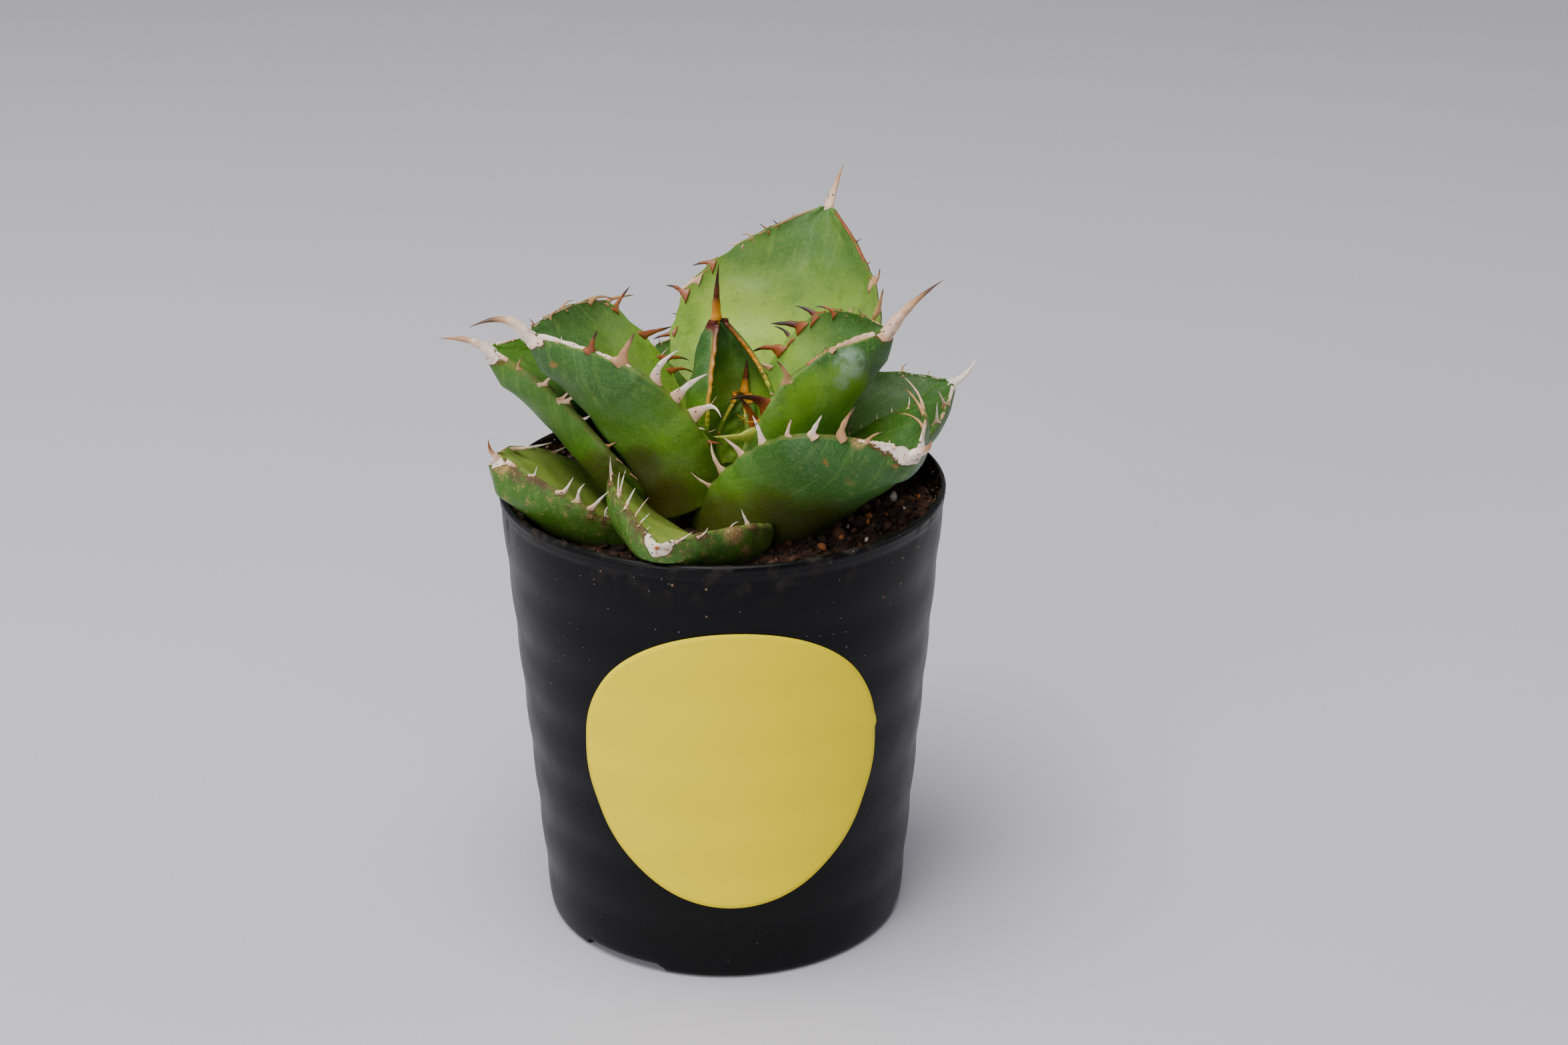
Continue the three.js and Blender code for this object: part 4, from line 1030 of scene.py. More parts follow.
def headings(leaf, t):
    turn = np.radians(leaf["azimuth"] + leaf["swerve"] * t)
    climb = np.radians(lerp(leaf["rise0"], leaf["rise1"], t))
    return turn, climb


def directions(turn, climb):
    return np.stack([np.cos(climb) * np.cos(turn), np.cos(climb) * np.sin(turn), np.sin(climb)], -1)


def midrib(leaf):
    turn = math.radians(leaf["azimuth"])
    start = np.array([LEAF_FOOT_RADIUS * math.cos(turn), LEAF_FOOT_RADIUS * math.sin(turn),
                      leaf["foot"]])
    middles = (np.arange(MIDRIB_STEPS) + 0.5) / MIDRIB_STEPS
    steps = directions(*headings(leaf, middles)) * leaf["length"] / MIDRIB_STEPS
    return np.vstack([start, start + np.cumsum(steps, axis=0)])


def frames(leaf, t):
    share = np.clip(t, 0, 1) * MIDRIB_STEPS
    i = np.minimum(share.astype(int), MIDRIB_STEPS - 1)
    rib = midrib(leaf)
    at = rib[i] + (rib[i + 1] - rib[i]) * (share - i)[:, None]
    turn, climb = headings(leaf, t)
    along = directions(turn, climb)
    level = np.stack([-np.sin(turn), np.cos(turn), np.zeros_like(turn)], -1)
    roll = math.radians(leaf["roll"])
    left = level * math.cos(roll) + np.cross(along, level) * math.sin(roll)
    return at, along, left, np.cross(along, left)


def half_widths(leaf, t):
    swell = np.sin(math.pi / 2 * np.minimum(t / leaf["widest"], 1))
    inner = lerp(LEAF_FOOT_SHARE, 1, swell)
    past = np.maximum((t - leaf["widest"]) / (1 - leaf["widest"]), 0)
    share = np.where(t < leaf["widest"], inner, 1 - past ** leaf["taper"])
    return np.maximum(leaf["halfWidth"] * share, TIP_HALF_WIDTH)


def upper_face(leaf, t, v):
    """Points of the upper face, with its normal, its outward direction and its lengthwise one."""
    t, v = np.broadcast_arrays(np.asarray(t, float), np.asarray(v, float))
    at, along, left, up = frames(leaf, t)
    width = half_widths(leaf, t)
    cup = math.radians(leaf["cup"])
    angle = cup * v
    point = (at + left * (width * np.sin(angle) / cup)[:, None]
             + up * (width * (1 - np.cos(angle)) / cup)[:, None])
    normal = up * np.cos(angle)[:, None] - left * np.sin(angle)[:, None]
    outward = left * np.cos(angle)[:, None] + up * np.sin(angle)[:, None]
    return point, normal, outward, along


def thicknesses(leaf, t, v):
    keel = lerp(leaf["keel0"], leaf["keel1"], t) * np.minimum(1, (1 - t) * KEEL_RISE + KEEL_AT_TIP)
    return LEAF_EDGE + keel * np.maximum(1 - np.abs(v) ** KEEL_FORM[0], 0) ** KEEL_FORM[1]


def edge_place(leaf, edge, t):
    """The middle of the leaf's edge, with the face's normal and the outward and lengthwise ways."""
    point, normal, outward, along = (a[0] for a in upper_face(leaf, [t], [edge]))
    return point - normal * LEAF_EDGE / 2, normal, outward * edge, along


def edge_at(leaf, edge, pixel):
    """How far along the leaf its edge comes nearest to a pixel of the photograph."""
    t = np.linspace(*EDGE_SEARCH)
    points = upper_face(leaf, t, np.full_like(t, edge))[0]
    return float(t[np.argmin(np.linalg.norm(pixels_of(points) - np.array(pixel), axis=1))])


# ---- Where the teeth stand, and how they point ----


def swung(step, outward):
    """How far in depth a step in the picture's plane swings, towards the way the edge faces."""
    reach = float(np.linalg.norm(step))
    facing = float(step @ outward)
    away = float(AHEAD @ outward)
    limit = SWING_LIMIT * reach
    return np.clip(reach * reach * away / max(facing, SWING_LEAST * reach), -limit, limit)


def seen_tooth(leaf, edge, row):
    tone, foot, knee, tip, broad = row
    t = edge_at(leaf, edge, foot)
    root, _, outward, _ = edge_place(leaf, edge, t)
    to_knee = np.array(knee, float) - foot
    to_tip = np.array(tip, float) - foot
    depth = swung(shifted(root, to_tip) - root, outward)
    return {"edge": edge, "t": t, "tone": TONES[tone][0], "broad": broad, "root": root,
            "knee": shifted(root, to_knee) + AHEAD * depth * KNEE_SWING,
            "tip": shifted(root, to_tip) + AHEAD * depth}


def rule_tooth(leaf, edge, k):
    """A tooth by the solids' own rule, for the edges that the photograph doesn't show."""
    draw = k + (0 if edge > 0 else RIGHT_EDGE_DRAWS)

    def drawn(span, first_draw):
        return lerp(span[0], span[1], chance(leaf["seed"], draw + first_draw))

    share = (k + 0.5 + TOOTH_SHIFT * (chance(leaf["seed"], draw) - 0.5)) / leaf["teeth"]
    size = leaf["tooth"] * lerp(TOOTH_SHORTEST, 1, math.sin(math.pi * share))
    length = size * drawn(TOOTH_LENGTHS, LENGTH_DRAWS)
    lean = math.radians(drawn(TOOTH_LEANS, LEAN_DRAWS))
    t = lerp(*TOOTH_REACH, share)
    root, normal, outward, along = edge_place(leaf, edge, t)
    aim = unit(outward * math.cos(lean) + along * math.sin(lean)
               + normal * drawn(TOOTH_LIFTS, LIFT_DRAWS))
    bend = along * drawn(TOOTH_BENDS, BEND_DRAWS) + normal * TOOTH_CURL
    by_age, start, spread = WEATHERING
    spread *= chance(leaf["seed"], draw + WEATHER_DRAWS) - 0.5
    weathered = leaf["age"] * by_age + start + spread
    fresh = TONES["amber" if leaf["age"] < BUD_AGE else "plum"][0]
    return {"edge": edge, "t": t, "tone": lerp(fresh, 0.0, min(max(weathered, 0), 1)),
            "broad": RULE_HALF_FOOT * length, "root": root,
            "knee": root + aim * length * RULE_KNEE[0] + bend * length * RULE_KNEE[1],
            "tip": root + (aim + bend) * length}


def worn(tooth):
    """A tooth broken off to a stump."""
    stump = {key: lerp(tooth["root"], tooth[key], WORN_SHARE) for key in ("knee", "tip")}
    return {**tooth, **stump}


def crosses_the_rim(tooth):
    """Whether a tooth would run into the pot's wall."""
    radius = math.hypot(tooth["tip"][0], tooth["tip"][1])
    return radius > BESIDE_RIM and tooth["tip"][2] < POT_HEIGHT + GAP


def teeth_of(leaf):
    teeth = []
    for edge in (1, -1):
        seen = [seen_tooth(leaf, edge, row) for row in SEEN_TEETH.get((leaf["number"], edge), [])]
        lowest = min([tooth["t"] for tooth in seen], default=1.0)
        teeth += seen
        for k in range(leaf["teeth"]):
            tooth = rule_tooth(leaf, edge, k)
            hidden = not seen or tooth["t"] < lowest - RULE_CLEAR
            if (leaf["number"], edge) in WORN_EDGES:
                tooth = worn(tooth)
            if hidden and not crosses_the_rim(tooth):
                teeth.append(tooth)
    return teeth


# ---- Leaves ----


def knobs(leaf, t, edge, teeth):
    """The fleshy knobs that the teeth stand on, as extra width of one edge."""
    swell = np.zeros_like(t)
    for tooth in teeth:
        if tooth["edge"] == edge:
            span = (tooth["broad"] + KNOB_MARGIN) / leaf["length"]
            height = KNOB_HEIGHT * min(KNOB_TALLEST, tooth["broad"] / COMMON_FOOT)
            swell = np.maximum(swell, height * np.exp(-((t - tooth["t"]) / span) ** 2))
    return swell


def off_the_rim(points):
    """Low leaves rest on the rim: what would cross the wall lies on it or inside it."""
    radius = np.hypot(points[:, 0], points[:, 1])
    low = (radius > RIM_INSIDE) & (points[:, 2] < POT_HEIGHT + GAP)
    lift = low & (points[:, 2] > POT_HEIGHT - RIM_LIFT)
    points[lift, 2] = POT_HEIGHT + GAP
    press = low & ~lift
    points[press, :2] *= (RIM_INSIDE / radius[press])[:, None]
    return points


def blade(leaf, teeth):
    """The flesh: two faces that meet in a rounded edge, with knobs under the teeth. Gives its
    points, where each is along, across, under and in from the edge, and the count in a ring."""
    rows = np.linspace(0, LAST_ROW, LEAF_LENGTHWISE)
    across = np.sin(np.linspace(-math.pi / 2, math.pi / 2, LEAF_ACROSS))
    ring_v = np.concatenate([across[::-1], across[1:-1]])
    is_under = np.concatenate([np.zeros(LEAF_ACROSS), np.ones(LEAF_ACROSS - 2)])
    t = np.repeat(rows, len(ring_v))
    v = np.tile(ring_v, len(rows))
    under = np.tile(is_under, len(rows))
    knob = np.where(v > 0, knobs(leaf, t, 1, teeth), knobs(leaf, t, -1, teeth)) * np.abs(v) ** KNOB_FADE
    point, normal, outward, _ = upper_face(leaf, t, v)
    phase = leaf["seed"] * RIPPLE_PHASE
    ripple = RIPPLE * sum(np.sin(t * a + v * b + c * phase) for a, b, c in RIPPLE_WAVES)
    ripple = ripple * (1 - np.abs(v) ** RIPPLE_FADE)
    depth = np.where(under > 0, thicknesses(leaf, t, v), 0)
    point = point + normal * (ripple - depth)[:, None]
    point = point + outward * (np.sign(v) * knob)[:, None]
    edge = half_widths(leaf, t) * (1 - np.abs(v))
    return in_the_box(off_the_rim(point)), t, v, under, edge, len(ring_v)


def marks_on(number, kind, points):
    """How strongly each point carries a kind of mark that the photograph shows."""
    strength = np.zeros(len(points))
    pixels = pixels_of(points)
    for leaf_number, mark, pixel, radius in SEEN_MARKS:
        if leaf_number == number and mark == kind:
            reach = radius * PIXELS_AT_ONE / ((points - CAMERA_PLACE) @ AHEAD)
            off = np.linalg.norm(pixels - np.array(pixel), axis=1) / reach
            strength = np.maximum(strength, smooth_step(off, *MARK_EDGE))
    return strength


def make_leaf(leaf, teeth, skin):
    point, t, v, under, edge, size = blade(leaf, teeth)
    rows = len(point) // size
    faces = [face[::-1] for face in ring_faces(rows, size)]
    points = list(point)
    for first in (0, (rows - 1) * size):
        hub = len(points)
        points.append(point[first:first + size].mean(axis=0))
        faces += [(hub, a, b) if first == 0 else (hub, b, a) for a, b in neighbours(size, first)]
    number = leaf["number"]
    piece = new_piece(f"leaf_{number:02d}_flesh", points, faces, skin, [f"leaf_{number:02d}"])
    # The last two points, in the middle of the foot and of the tip, get their own values.
    to_tip = (1 - t) * leaf["length"]
    at_middle, at_sides, power = CAP_FORM
    cap = leaf["cap"] * (at_middle + at_sides * np.abs(v) ** power) * lerp(CAP_ABOVE, 1, under)
    horny = np.clip(1 - (to_tip / cap) * 0.5, 0, 1)
    left, right = (EDGE_HORN.get((number, edge), EDGE_HORN_UNSEEN) for edge in (1, -1))
    tip_tone = (TONES[left[2]][0] + TONES[right[2]][0]) / 2
    set_attribute(piece, "along", [*t, 0.0, 1.0])
    set_attribute(piece, "under", [*under, 0.0, 0.0])
    set_attribute(piece, "edge_mm", [*edge, *HUB_EDGES])
    set_attribute(piece, "horny", [*horny, 0.0, 1.0])
    set_attribute(piece, "age", [leaf["age"]] * len(points))
    set_attribute(piece, "tone", [tip_tone] * len(points))
    for kind in MARK_KINDS:
        set_attribute(piece, kind, marks_on(number, kind, np.array(points)))
    for_across, for_along, for_under = STREAKS
    streaks = np.stack([v * half_widths(leaf, t) * for_across + for_under * under,
                        t * leaf["length"] * for_along], -1)
    set_uv(piece, "leaf", np.vstack([streaks, HUB_STREAKS]))
    return piece


# ---- Horn ----


def darkness(tone, share):
    """How dark a tooth is towards its point: fresh horn darkens early, bone hardly at all."""
    places = [TONES[name][0] for name in DARK_TIPS]
    start = np.interp(tone, places, [pair[0] for pair in DARK_TIPS.values()])
    depth = np.interp(tone, places, [pair[1] for pair in DARK_TIPS.values()])
    return depth * smooth_step(share, start, min(start + DARK_OVER, 1.0))


def root_stain(tone, share):
    """The change of tone towards a tooth's root: brown on bone, rust on plum, none on sap."""
    if tone < FRESH_ROOT_TONE:
        return (ROOT_TONE - tone) * ROOT_STAIN_DEPTH * smooth_step(share, *ROOT_STAIN)
    if tone < TONES["amber"][0]:
        return (FRESH_ROOT_TONE - tone) * smooth_step(share, *FRESH_ROOT_STAIN)
    return np.zeros_like(share)


def faded(share, reach, power):
    """1 at the root, falling to nothing at reach, a share of the length."""
    return np.maximum(1 - share / reach, 0) ** power


def arc(root, handle, tip, s):
    """A curve from root to tip that bends towards handle."""
    return root * (1 - s) ** 2 + handle * 2 * s * (1 - s) + tip * s ** 2


def tooth_section(tooth, length, share, phase):
    """Half the width and half the thickness of a tooth: a thin blade that tapers to a point, on a
    foot that spreads along the edge."""
    broad = tooth["broad"]
    least, for_length = BLADE_WIDTH
    blade_wide = min(BLADE_WIDEST, (least + for_length * length)
                     * np.clip(broad / COMMON_FOOT, *BLADE_SHARES))
    ripple, waves = BLADE_RIPPLE
    grain = 1 + ripple * np.sin(share * waves + phase)
    taper = (1 - share) ** BLADE_TAPER
    reach, power, least_flare = FOOT_FLARE
    flare = max(broad - blade_wide, least_flare) * faded(share, reach, power)
    half_wide = blade_wide * taper * grain + flare
    reach, power, swell, broad_foot = FOOT_SWELL
    half_thick = (min(BLADE_THICKEST, BLADE_THICKNESS * blade_wide) * taper
                  + swell * min(1, broad / broad_foot) * faded(share, reach, power))
    return half_wide + POINT_RADIUS, half_thick + POINT_RADIUS


def add_tooth(mesh, leaf, tooth, draw):
    """A flat curved blade of horn that spreads along the edge at its foot."""
    _, normal, outward, along = edge_place(leaf, tooth["edge"], tooth["t"])
    root, knee, tip = tooth["root"], tooth["knee"], tooth["tip"]
    length = float(np.linalg.norm(tip - root))
    share = np.linspace(0, 1, TOOTH_RINGS) ** TOOTH_CROWDING
    s = share[:, None]
    sway = along * TOOTH_SWAY * length * (chance(leaf["seed"], draw + SWAY_DRAWS) - 0.5)
    centres = arc(root, lerp(knee, (root + tip) / 2, KNEE_PULL), tip, s)
    centres = centres + np.sin(s * math.pi * 2) * sway - outward * TOOTH_ROOT * (1 - s) ** ROOT_FADE
    tangent = unit(np.gradient(centres, axis=0))
    across = np.cross(tangent, normal)
    across = across * np.sign(across @ along + SIDE_GUARD)[:, None]
    spread = smooth_step(share, FOOT_REACH, 0.0)[:, None]
    wide = unit(lerp(unit(across + along * WIDTH_GUARD), along, spread))
    thin = unit(np.cross(wide, outward) * spread + np.cross(wide, tangent) * (1 - spread))
    half_wide, half_thick = tooth_section(tooth, length, share, leaf["seed"] + draw)
    points, faces = swept(centres, wide, thin, half_wide, half_thick, TOOTH_SIDES)
    stained = tooth["tone"] + root_stain(tooth["tone"], share)
    mesh.add(points, faces, tone=on_rings(stained, TOOTH_SIDES),
             dark=on_rings(darkness(tooth["tone"], share), TOOTH_SIDES))


def add_band(mesh, leaf, edge):
    """The horny edge: a thin ragged strip that starts at nothing and swells towards the tip."""
    width, low_tone, tip_tone, pixel = EDGE_HORN.get((leaf["number"], edge), EDGE_HORN_UNSEEN)
    start = edge_at(leaf, edge, pixel) if pixel else leaf["horn"]
    start = min(start, BAND_LATEST)
    t = np.linspace(start, HORN_END, BAND_RINGS)
    point, normal, outward, _ = upper_face(leaf, t, np.full_like(t, edge))
    share = (t - start) / (HORN_END - start)
    first_draw = BAND_DRAWS + (0 if edge > 0 else BAND_RIGHT_DRAWS)
    ragged = np.array([chance(leaf["seed"], first_draw + i // 2) for i in range(BAND_RINGS)])
    ragged = np.convolve(np.pad(ragged, 1, "edge"), BAND_SMOOTHING, "valid")
    half_wide = width * lerp(BAND_AT_START, 1, share) * lerp(*BAND_RAGGED, ragged)
    half_wide *= np.minimum(1, share / BAND_RUN_IN[0] + BAND_RUN_IN[1])
    half_thick = np.minimum(LEAF_EDGE * BAND_THICKEST, BAND_THICK[0] + half_wide * BAND_THICK[1])
    centre = point - normal * LEAF_EDGE * 0.5 - outward * edge * (half_wide * BAND_INSET)[:, None]
    points, faces = swept(centre, outward * edge, normal, half_wide, half_thick, BAND_SIDES)
    # The side that lies on the flesh is browner.
    tones = lerp(TONES[low_tone][0], TONES[tip_tone][0], share)
    inward = np.maximum(-np.cos(round_turns(BAND_SIDES)), 0)
    tones = tones[:, None] + np.maximum(ROOT_TONE - tones, 0)[:, None] * inward
    tones = np.concatenate([tones[0, :1], tones.ravel(), tones[-1, :1]])
    mesh.add(points, faces, tone=tones, dark=0.0)


def add_spine(mesh, leaf):
    """The end spine, swept from the leaf's own direction round to its aim."""
    number = leaf["number"]
    point, normal, _, along = (a[0] for a in upper_face(leaf, [1.0], [0.0]))
    turn, climb = headings(leaf, 1.0)
    aim = directions(turn + math.radians(leaf["spineTurn"]), climb + math.radians(leaf["spineRise"]))
    root = point - normal * LEAF_EDGE * SPINE_SUNK
    tip = point - normal * LEAF_EDGE / 2 + aim * leaf["spine"]
    forward, under = SPINE_KNEES.get(number, SPINE_KNEE)
    knee = root + (along * forward - normal * under) * leaf["spine"]
    back = root - along * SPINE_BACK[0] - normal * SPINE_BACK[1]
    s = np.linspace(0, 1, SPINE_RINGS)[:, None]
    centres = np.vstack([back, lerp(back, root, 0.5), arc(root, knee, tip, s)])
    share = np.concatenate([SPINE_BACK_SHARES, s[:, 0]])
    tangent = unit(np.gradient(centres, axis=0))
    wides = unit(np.cross(tangent, normal))
    thins = np.cross(wides, tangent)
    radius = leaf["stout"] * np.maximum(1 - np.maximum(share, 0), 0) ** SPINE_TAPER + SPINE_POINT
    radius[0] *= SPINE_ROOT
    radius *= 1 + SPINE_RIPPLE[0] * np.sin(share * SPINE_RIPPLE[1] + leaf["seed"])
    wide, thick = SPINE_SECTION
    points, faces = swept(centres, wides, thins, radius * wide, radius * thick, SPINE_SIDES)
    low_tone, high_tone = (TONES[name][0] for name in SPINE_TONES.get(number, SPINE_TONES_UNSEEN))
    tones = lerp(low_tone, high_tone, smooth_step(share, *SPINE_TONE_TURN))
    dark_from = SPINE_DARK_FROM.get(number, SPINE_DARK_FROM_UNSEEN)
    dark = smooth_step(share, dark_from, dark_from + SPINE_DARK_OVER) * SPINE_DARK
    mesh.add(points, faces, tone=on_rings(tones, SPINE_SIDES), dark=on_rings(dark, SPINE_SIDES))


def make_horn(leaf, teeth, horn):
    mesh = Mesh("tone", "dark")
    for edge in (1, -1):
        add_band(mesh, leaf, edge)
    add_spine(mesh, leaf)
    for draw, tooth in enumerate(teeth):
        add_tooth(mesh, leaf, tooth, draw)
    number = leaf["number"]
    mesh.piece(f"leaf_{number:02d}_horn", horn, "horn", [f"horn_{number:02d}"])


# ---- Pot ----


def wall_radius(z):
    return lerp(POT_FOOT_RADIUS, POT_TOP_RADIUS, z / POT_HEIGHT)


def ring_wave(z):
    """The faint moulding rings: crests on the plain wall, shallow valleys between."""
    crest = POT_HEIGHT - BEAD_HEIGHT - RING_SPACING / 2
    valley = 0.5 - 0.5 * np.cos((z - crest) / RING_SPACING * 2 * math.pi)
    return -RING_DEPTH * valley ** RING_SHARPNESS


def notch_lift(turn):
    """How high the foot ring is cut away, for each angle round the pot."""
    half = math.degrees(NOTCH_WIDTH / 2 / POT_FOOT_RADIUS)
    off = (turn - NOTCH_ANGLE + 180 / NOTCH_COUNT) % (360 / NOTCH_COUNT) - 180 / NOTCH_COUNT
    return NOTCH_HEIGHT * np.clip((half - np.abs(off)) / NOTCH_SLOPE, 0, 1)


def pot_profile():
    """(radius, height, share of the notch's lift) from the floor's middle, out and over the rim."""
    foot_inner = POT_FOOT_RADIUS - FOOT_RING_WIDTH
    drains_inside, drains_outside = DRAIN_CIRCLE - DRAIN_BAND, DRAIN_CIRCLE + DRAIN_BAND
    low = [(radius, FLOOR_RISE, 0)
           for radius in (0.0, drains_inside, drains_outside, foot_inner - FLOOR_CHAMFER)]
    low.append((foot_inner, FLOOR_RISE - FLOOR_CHAMFER, 0))
    low += [(foot_inner + out, up, 1) for out, up in FOOT_INNER_ROUND]
    for step in range(FOOT_STEPS + 1):
        angle = math.radians(90 * step / FOOT_STEPS)
        low.append((POT_FOOT_RADIUS - FOOT_ROUND * (1 - math.sin(angle)),
                    FOOT_ROUND * (1 - math.cos(angle)), 1 - step / FOOT_STEPS * NOTCH_FADE))
    bead_low = POT_HEIGHT - BEAD_HEIGHT
    heights = np.linspace(FOOT_ROUND + WALL_OFF_FOOT, bead_low - WALL_OFF_BEAD, WALL_ROWS)
    wall = [(wall_radius(z) + ring_wave(z), z, 0) for z in heights]
    bead = [(wall_radius(bead_low), bead_low - BEAD_GROOVE, 0)]
    for angle in np.radians(np.linspace(*BEAD_ANGLES, BEAD_STEPS)):
        tall = BEAD_RADIUS if angle > 0 else BEAD_RADIUS * BEAD_UNDERSIDE
        bead.append((POT_TOP_RADIUS - BEAD_RADIUS * (1 - math.cos(angle)),
                     POT_HEIGHT - BEAD_RADIUS + tall * math.sin(angle), 0))
    thick = WALL + RING_DEPTH
    bead += [(POT_TOP_RADIUS - thick + out, POT_HEIGHT - down, 0) for out, down in LIP_ROUND]
    inner = [(wall_radius(z) - thick, z, 0)
             for z in np.linspace(POT_HEIGHT - INNER_DROP, INNER_FOOT, INNER_ROWS)]
    floor = [(radius, FLOOR_RISE + FLOOR_THICK, 0)
             for radius in (POT_FOOT_RADIUS - FLOOR_INSET, drains_outside, drains_inside, 0.0)]
    return low + wall + bead + inner + floor


def make_pot(plastic):
    profile = np.array(pot_profile())
    turns = np.linspace(0, 360, POT_AROUND, endpoint=False)
    lift = notch_lift(turns)
    angle = np.radians(turns)
    rows = []
    for radius, z, share in profile[1:-1]:
        height = np.maximum(z, z * (1 - share) + lift * share) if share else np.full_like(lift, z)
        radii = radius + OUT_OF_ROUND * np.sin(angle * 2 + OUT_OF_ROUND_TURN) * min(z / POT_HEIGHT, 1)
        rows.append(np.stack([radii * np.cos(angle), radii * np.sin(angle), height], -1))
    points = [(0, 0, profile[0][1]), *np.vstack(rows), (0, 0, profile[-1][1])]
    faces = tube_faces(len(rows), POT_AROUND)
    cut_drains(new_piece("nursery_pot", points, faces, plastic, ["pot"]))


def cut_drains(pot):
    """Round drain holes through the raised floor."""
    cutters = bmesh.new()
    for i in range(DRAIN_COUNT):
        turn = 2 * math.pi * i / DRAIN_COUNT
        made = bmesh.ops.create_cone(cutters, cap_ends=True, segments=DRAIN_SIDES,
                                     radius1=DRAIN_RADIUS * MM, radius2=DRAIN_RADIUS * MM,
                                     depth=4 * FLOOR_THICK * MM)
        offset = Vector((DRAIN_CIRCLE * math.cos(turn), DRAIN_CIRCLE * math.sin(turn),
                         FLOOR_RISE + FLOOR_THICK / 2)) * MM
        bmesh.ops.translate(cutters, verts=made["verts"], vec=offset)
    mesh = bpy.data.meshes.new("drain_cutters")
    cutters.to_mesh(mesh)
    cutters.free()
    tool = place_in_scene(bpy.data.objects.new("drain_cutters", mesh))
    cut = pot.modifiers.new("drains", "BOOLEAN")
    cut.operation = "DIFFERENCE"
    cut.solver = "EXACT"
    cut.object = tool
    graph = bpy.context.evaluated_depsgraph_get()
    drained = bpy.data.meshes.new_from_object(pot.evaluated_get(graph))
    pot.modifiers.clear()
    pot.data = drained
    bpy.data.objects.remove(tool)


# ---- Label ----


def make_label(vinyl):
    slope = math.hypot(POT_TOP_RADIUS - POT_FOOT_RADIUS, POT_HEIGHT) / POT_HEIGHT
    middle_radius = wall_radius(LABEL_HEIGHT / slope)
    reach = LABEL_RADIUS * np.linspace(0, 1, LABEL_OUT + 1)[1:]
    angle = round_turns(LABEL_AROUND)
    across = np.concatenate([[0], (reach[:, None] * np.cos(angle)).ravel()])
    along = np.concatenate([[0], (reach[:, None] * np.sin(angle)).ravel()])

    def on_wall(off):
        z = (LABEL_HEIGHT + along) / slope
        crease = CREASE_HEIGHT * np.exp(-((across - CREASE_PLACE[0]) / CREASE_SIZE[0]) ** 2
                                        - ((along - CREASE_PLACE[1]) / CREASE_SIZE[1]) ** 2)
        radius = wall_radius(z) + ring_wave(z) * LABEL_FOLLOWS + off + crease
        turn = math.radians(LABEL_ANGLE) + across / middle_radius
        return np.stack([radius * np.cos(turn), radius * np.sin(turn), z], -1)

    front, back = on_wall(LABEL_OFF_WALL + LABEL_THICK), on_wall(LABEL_OFF_WALL)
    count = len(front)
    faces = []
    for j, after in neighbours(LABEL_AROUND, 1):
        faces.append((0, j, after))
        faces.append((count, count + after, count + j))
    outer = ring_faces(LABEL_OUT, LABEL_AROUND, 1)
    faces += [face[::-1] for face in outer]
    faces += [tuple(k + count for k in face) for face in outer]
    rim = 1 + (LABEL_OUT - 1) * LABEL_AROUND
    faces += [(j, count + j, count + after, after) for j, after in neighbours(LABEL_AROUND, rim)]
    new_piece("round_label", np.vstack([front, back]), faces, vinyl, ["label"])


# ---- Potting mix ----


def soil_height(x, y):
    """The lie of the mix: gentle lumps with crumbs on them."""
    lumps = (np.sin(x * LUMP_WAVES[0] + LUMP_SWAY[0] * np.sin(y * LUMP_SWAY[1]))
             + np.sin(y * LUMP_WAVES[1] + LUMP_DRIFT[0] * np.sin(x * LUMP_DRIFT[1])))
    crumbs = sum(np.sin(x * for_x + y * for_y) for for_x, for_y in CRUMB_WAVES)
    return SOIL_TOP + SOIL_LUMPS * lumps + SOIL_CRUMBS * crumbs


def make_soil(mix):
    radii = SOIL_EDGE * np.linspace(0, 1, SOIL_OUT + 1)[1:] ** SOIL_CROWDING
    angle = round_turns(SOIL_AROUND)
    x = (radii[:, None] * np.cos(angle)).ravel()
    y = (radii[:, None] * np.sin(angle)).ravel()
    rows = [np.array([[0, 0, SOIL_TOP]]), np.stack([x, y, soil_height(x, y)], -1)]
    below = [(SOIL_EDGE - SOIL_INSET, SOIL_SHOULDER),
             (wall_radius(SOIL_BOTTOM) - SOIL_OFF_WALL, SOIL_BOTTOM),
             (SOIL_BOTTOM_RING, SOIL_BOTTOM)]
    for radius, z in below:
        ring = [radius * np.cos(angle), radius * np.sin(angle), np.full_like(angle, z)]
        rows.append(np.stack(ring, -1))
    rows.append(np.array([[0, 0, SOIL_BOTTOM]]))
    faces = [face[::-1] for face in tube_faces(SOIL_OUT + len(below), SOIL_AROUND)]
    new_piece("potting_mix", np.vstack(rows), faces, mix, ["soil"])


def grain_shape(draw, size, flat):
    """A broken grain: an icosphere with its corners pushed in and out, and squashed."""
    ball = bmesh.new()
    bmesh.ops.create_icosphere(ball, subdivisions=1, radius=1.0)
    points = np.array([v.co[:] for v in ball.verts])
    faces = [tuple(v.index for v in f.verts) for f in ball.faces]
    ball.free()
    points *= draw.uniform(*GRAIN_KNOCKS, (len(points), 1))
    points *= size * np.array([1.0, draw.uniform(*GRAIN_WIDTHS), flat])
    basis, _ = np.linalg.qr(draw.normal(size=(3, 3)))
    return points @ basis, faces


def inside_any(trees, place):
    """Whether a point lies inside any of the leaves: it sees an odd number of skins above."""
    for tree in trees:
        hits = 0
        start = place.copy()
        while hits < RAY_HITS:
            found, _, _, _ = tree.ray_cast(start, UP_RAY)
            if found is None:
                break
            hits += 1
            start = found + UP_RAY * RAY_STEP
        if hits % 2:
            return True
    return False


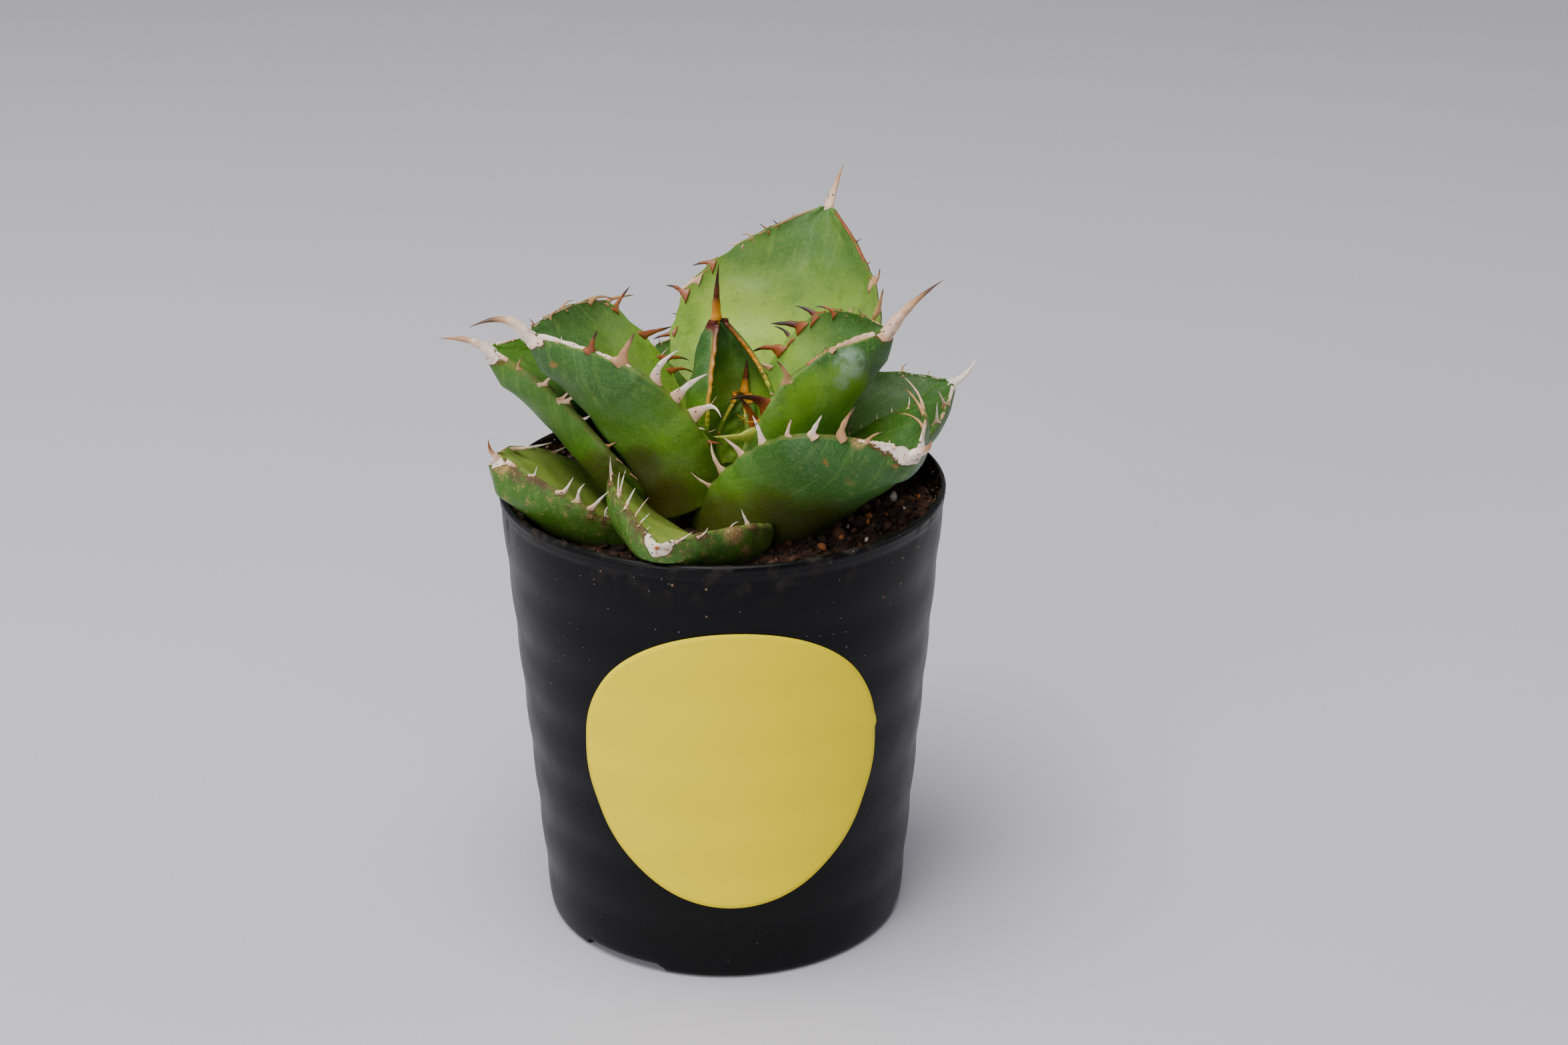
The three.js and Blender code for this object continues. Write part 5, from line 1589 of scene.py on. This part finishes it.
def make_grains(materials, trees):
    """Loose grains on the mix: first the ones that the photograph shows, then the scattered ones,
    none of them inside a leaf."""
    draw = np.random.default_rng(GRAIN_SEED)
    for name, count, sizes, flat, kind in GRAINS:
        mesh = Mesh("shade")
        for seen_kind, across, pixel in SEEN_GRAINS:
            if seen_kind == kind:
                points, faces = grain_shape(draw, across / 2, flat)
                mesh.add(points + on_level(pixel, SOIL_TOP + across / 4), faces, shade=SEEN_GRAIN_SHADE)
        for _ in range(count):
            radius = SOIL_EDGE * math.sqrt(draw.uniform(GRAIN_INMOST, 1.0)) - GRAIN_OFF_WALL
            turn = draw.uniform(0, 2 * math.pi)
            size = lerp(*sizes, draw.uniform() ** 2)
            x, y = radius * math.cos(turn), radius * math.sin(turn)
            z = float(soil_height(x, y)) + size * draw.uniform(*GRAIN_SINKS)
            points, faces = grain_shape(draw, size, flat)
            shade = draw.uniform()
            if radius + size * GRAIN_ROOM > SOIL_EDGE or inside_any(trees, Vector((x, y, z)) * MM):
                continue
            mesh.add(points + np.array([x, y, z]), faces, shade=shade)
        mesh.piece(name, materials[kind], "potting_mix")


def make_wall_crumbs(material):
    """Dried crumbs stuck to the inside of the wall, thickest just above the potting mix."""
    draw = np.random.default_rng(WALL_CRUMB_SEED)
    mesh = Mesh("shade")
    for _ in range(WALL_CRUMBS):
        size = lerp(*WALL_CRUMB_SIZES, draw.uniform() ** 2)
        z = SOIL_TOP + WALL_CRUMB_START + WALL_CRUMB_RISE * draw.uniform() ** 2
        radius = wall_radius(z) - WALL - RING_DEPTH - size * WALL_CRUMB_SINK
        turn = draw.uniform(0, 2 * math.pi)
        points, faces = grain_shape(draw, size, WALL_CRUMB_FLAT)
        middle = np.array([radius * math.cos(turn), radius * math.sin(turn), z])
        mesh.add(points + middle, faces, shade=draw.uniform())
    mesh.piece("wall_crumbs", material, "potting_mix")


# ---- Setting ----


def make_floor(backdrop):
    mesh = bpy.data.meshes.new("floor")
    corners = [(FLOOR_HALF * x, FLOOR_HALF * y, 0) for x, y in ((-1, -1), (1, -1), (1, 1), (-1, 1))]
    mesh.from_pydata(corners, [], [(0, 1, 2, 3)])
    mesh.materials.append(backdrop)
    floor = place_in_scene(bpy.data.objects.new("floor", mesh))


def light_the_set():
    """An even pale studio, with soft round lights from above, the front and both sides."""
    world = bpy.data.worlds.new("studio")
    world.use_nodes = True
    background = world.node_tree.nodes["Background"]
    background.inputs[0].default_value = linear(STUDIO_SHADE)
    background.inputs[1].default_value = STUDIO_STRENGTH
    bpy.context.scene.world = world
    for name, place, size, power, colour in LIGHTS:
        data = bpy.data.lights.new(name, "AREA")
        data.shape = "DISK"
        data.size = size
        data.energy = power
        data.color = linear(colour)[:3]
        light = place_in_scene(bpy.data.objects.new(name, data))
        light.location = place
        towards = Vector(LIGHTS_AIM) - Vector(place)
        light.rotation_euler = towards.to_track_quat("-Z", "Y").to_euler()


# ---- Assembly ----

make_camera()
light_the_set()
make_floor(seamless_floor())
skin = leaf_skin()
horn = leaf_horn()
leaf_pieces = []
for leaf in LEAVES:
    teeth = teeth_of(leaf)
    leaf_pieces.append(make_leaf(leaf, teeth, skin))
    make_horn(leaf, teeth, horn)
make_pot(moulded_polypropylene())
make_label(yellow_vinyl())
make_soil(potting_mix())
graph = bpy.context.evaluated_depsgraph_get()
leaf_trees = [BVHTree.FromObject(piece, graph) for piece in leaf_pieces]
make_grains({
    "bark": crumb_material("bark_chips", "#20120a", "#5c3820", 0.9, 0.85),
    "peat": crumb_material("peat_crumbs", "#160d08", "#382314", 0.6, 0.95),
    "clay": crumb_material("fired_clay", "#5b3018", "#b8703a", 0.7, 0.9),
    "pumice": crumb_material("pumice", "#8f857a", "#e6ded2", 0.5, 0.95),
}, leaf_trees)
make_wall_crumbs(crumb_material("dried_crumbs", "#4a3524", "#a07c54", 0.5, 0.95))
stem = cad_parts["stem"]
stem.data.materials.clear()
stem.data.materials.append(stem_fibre())
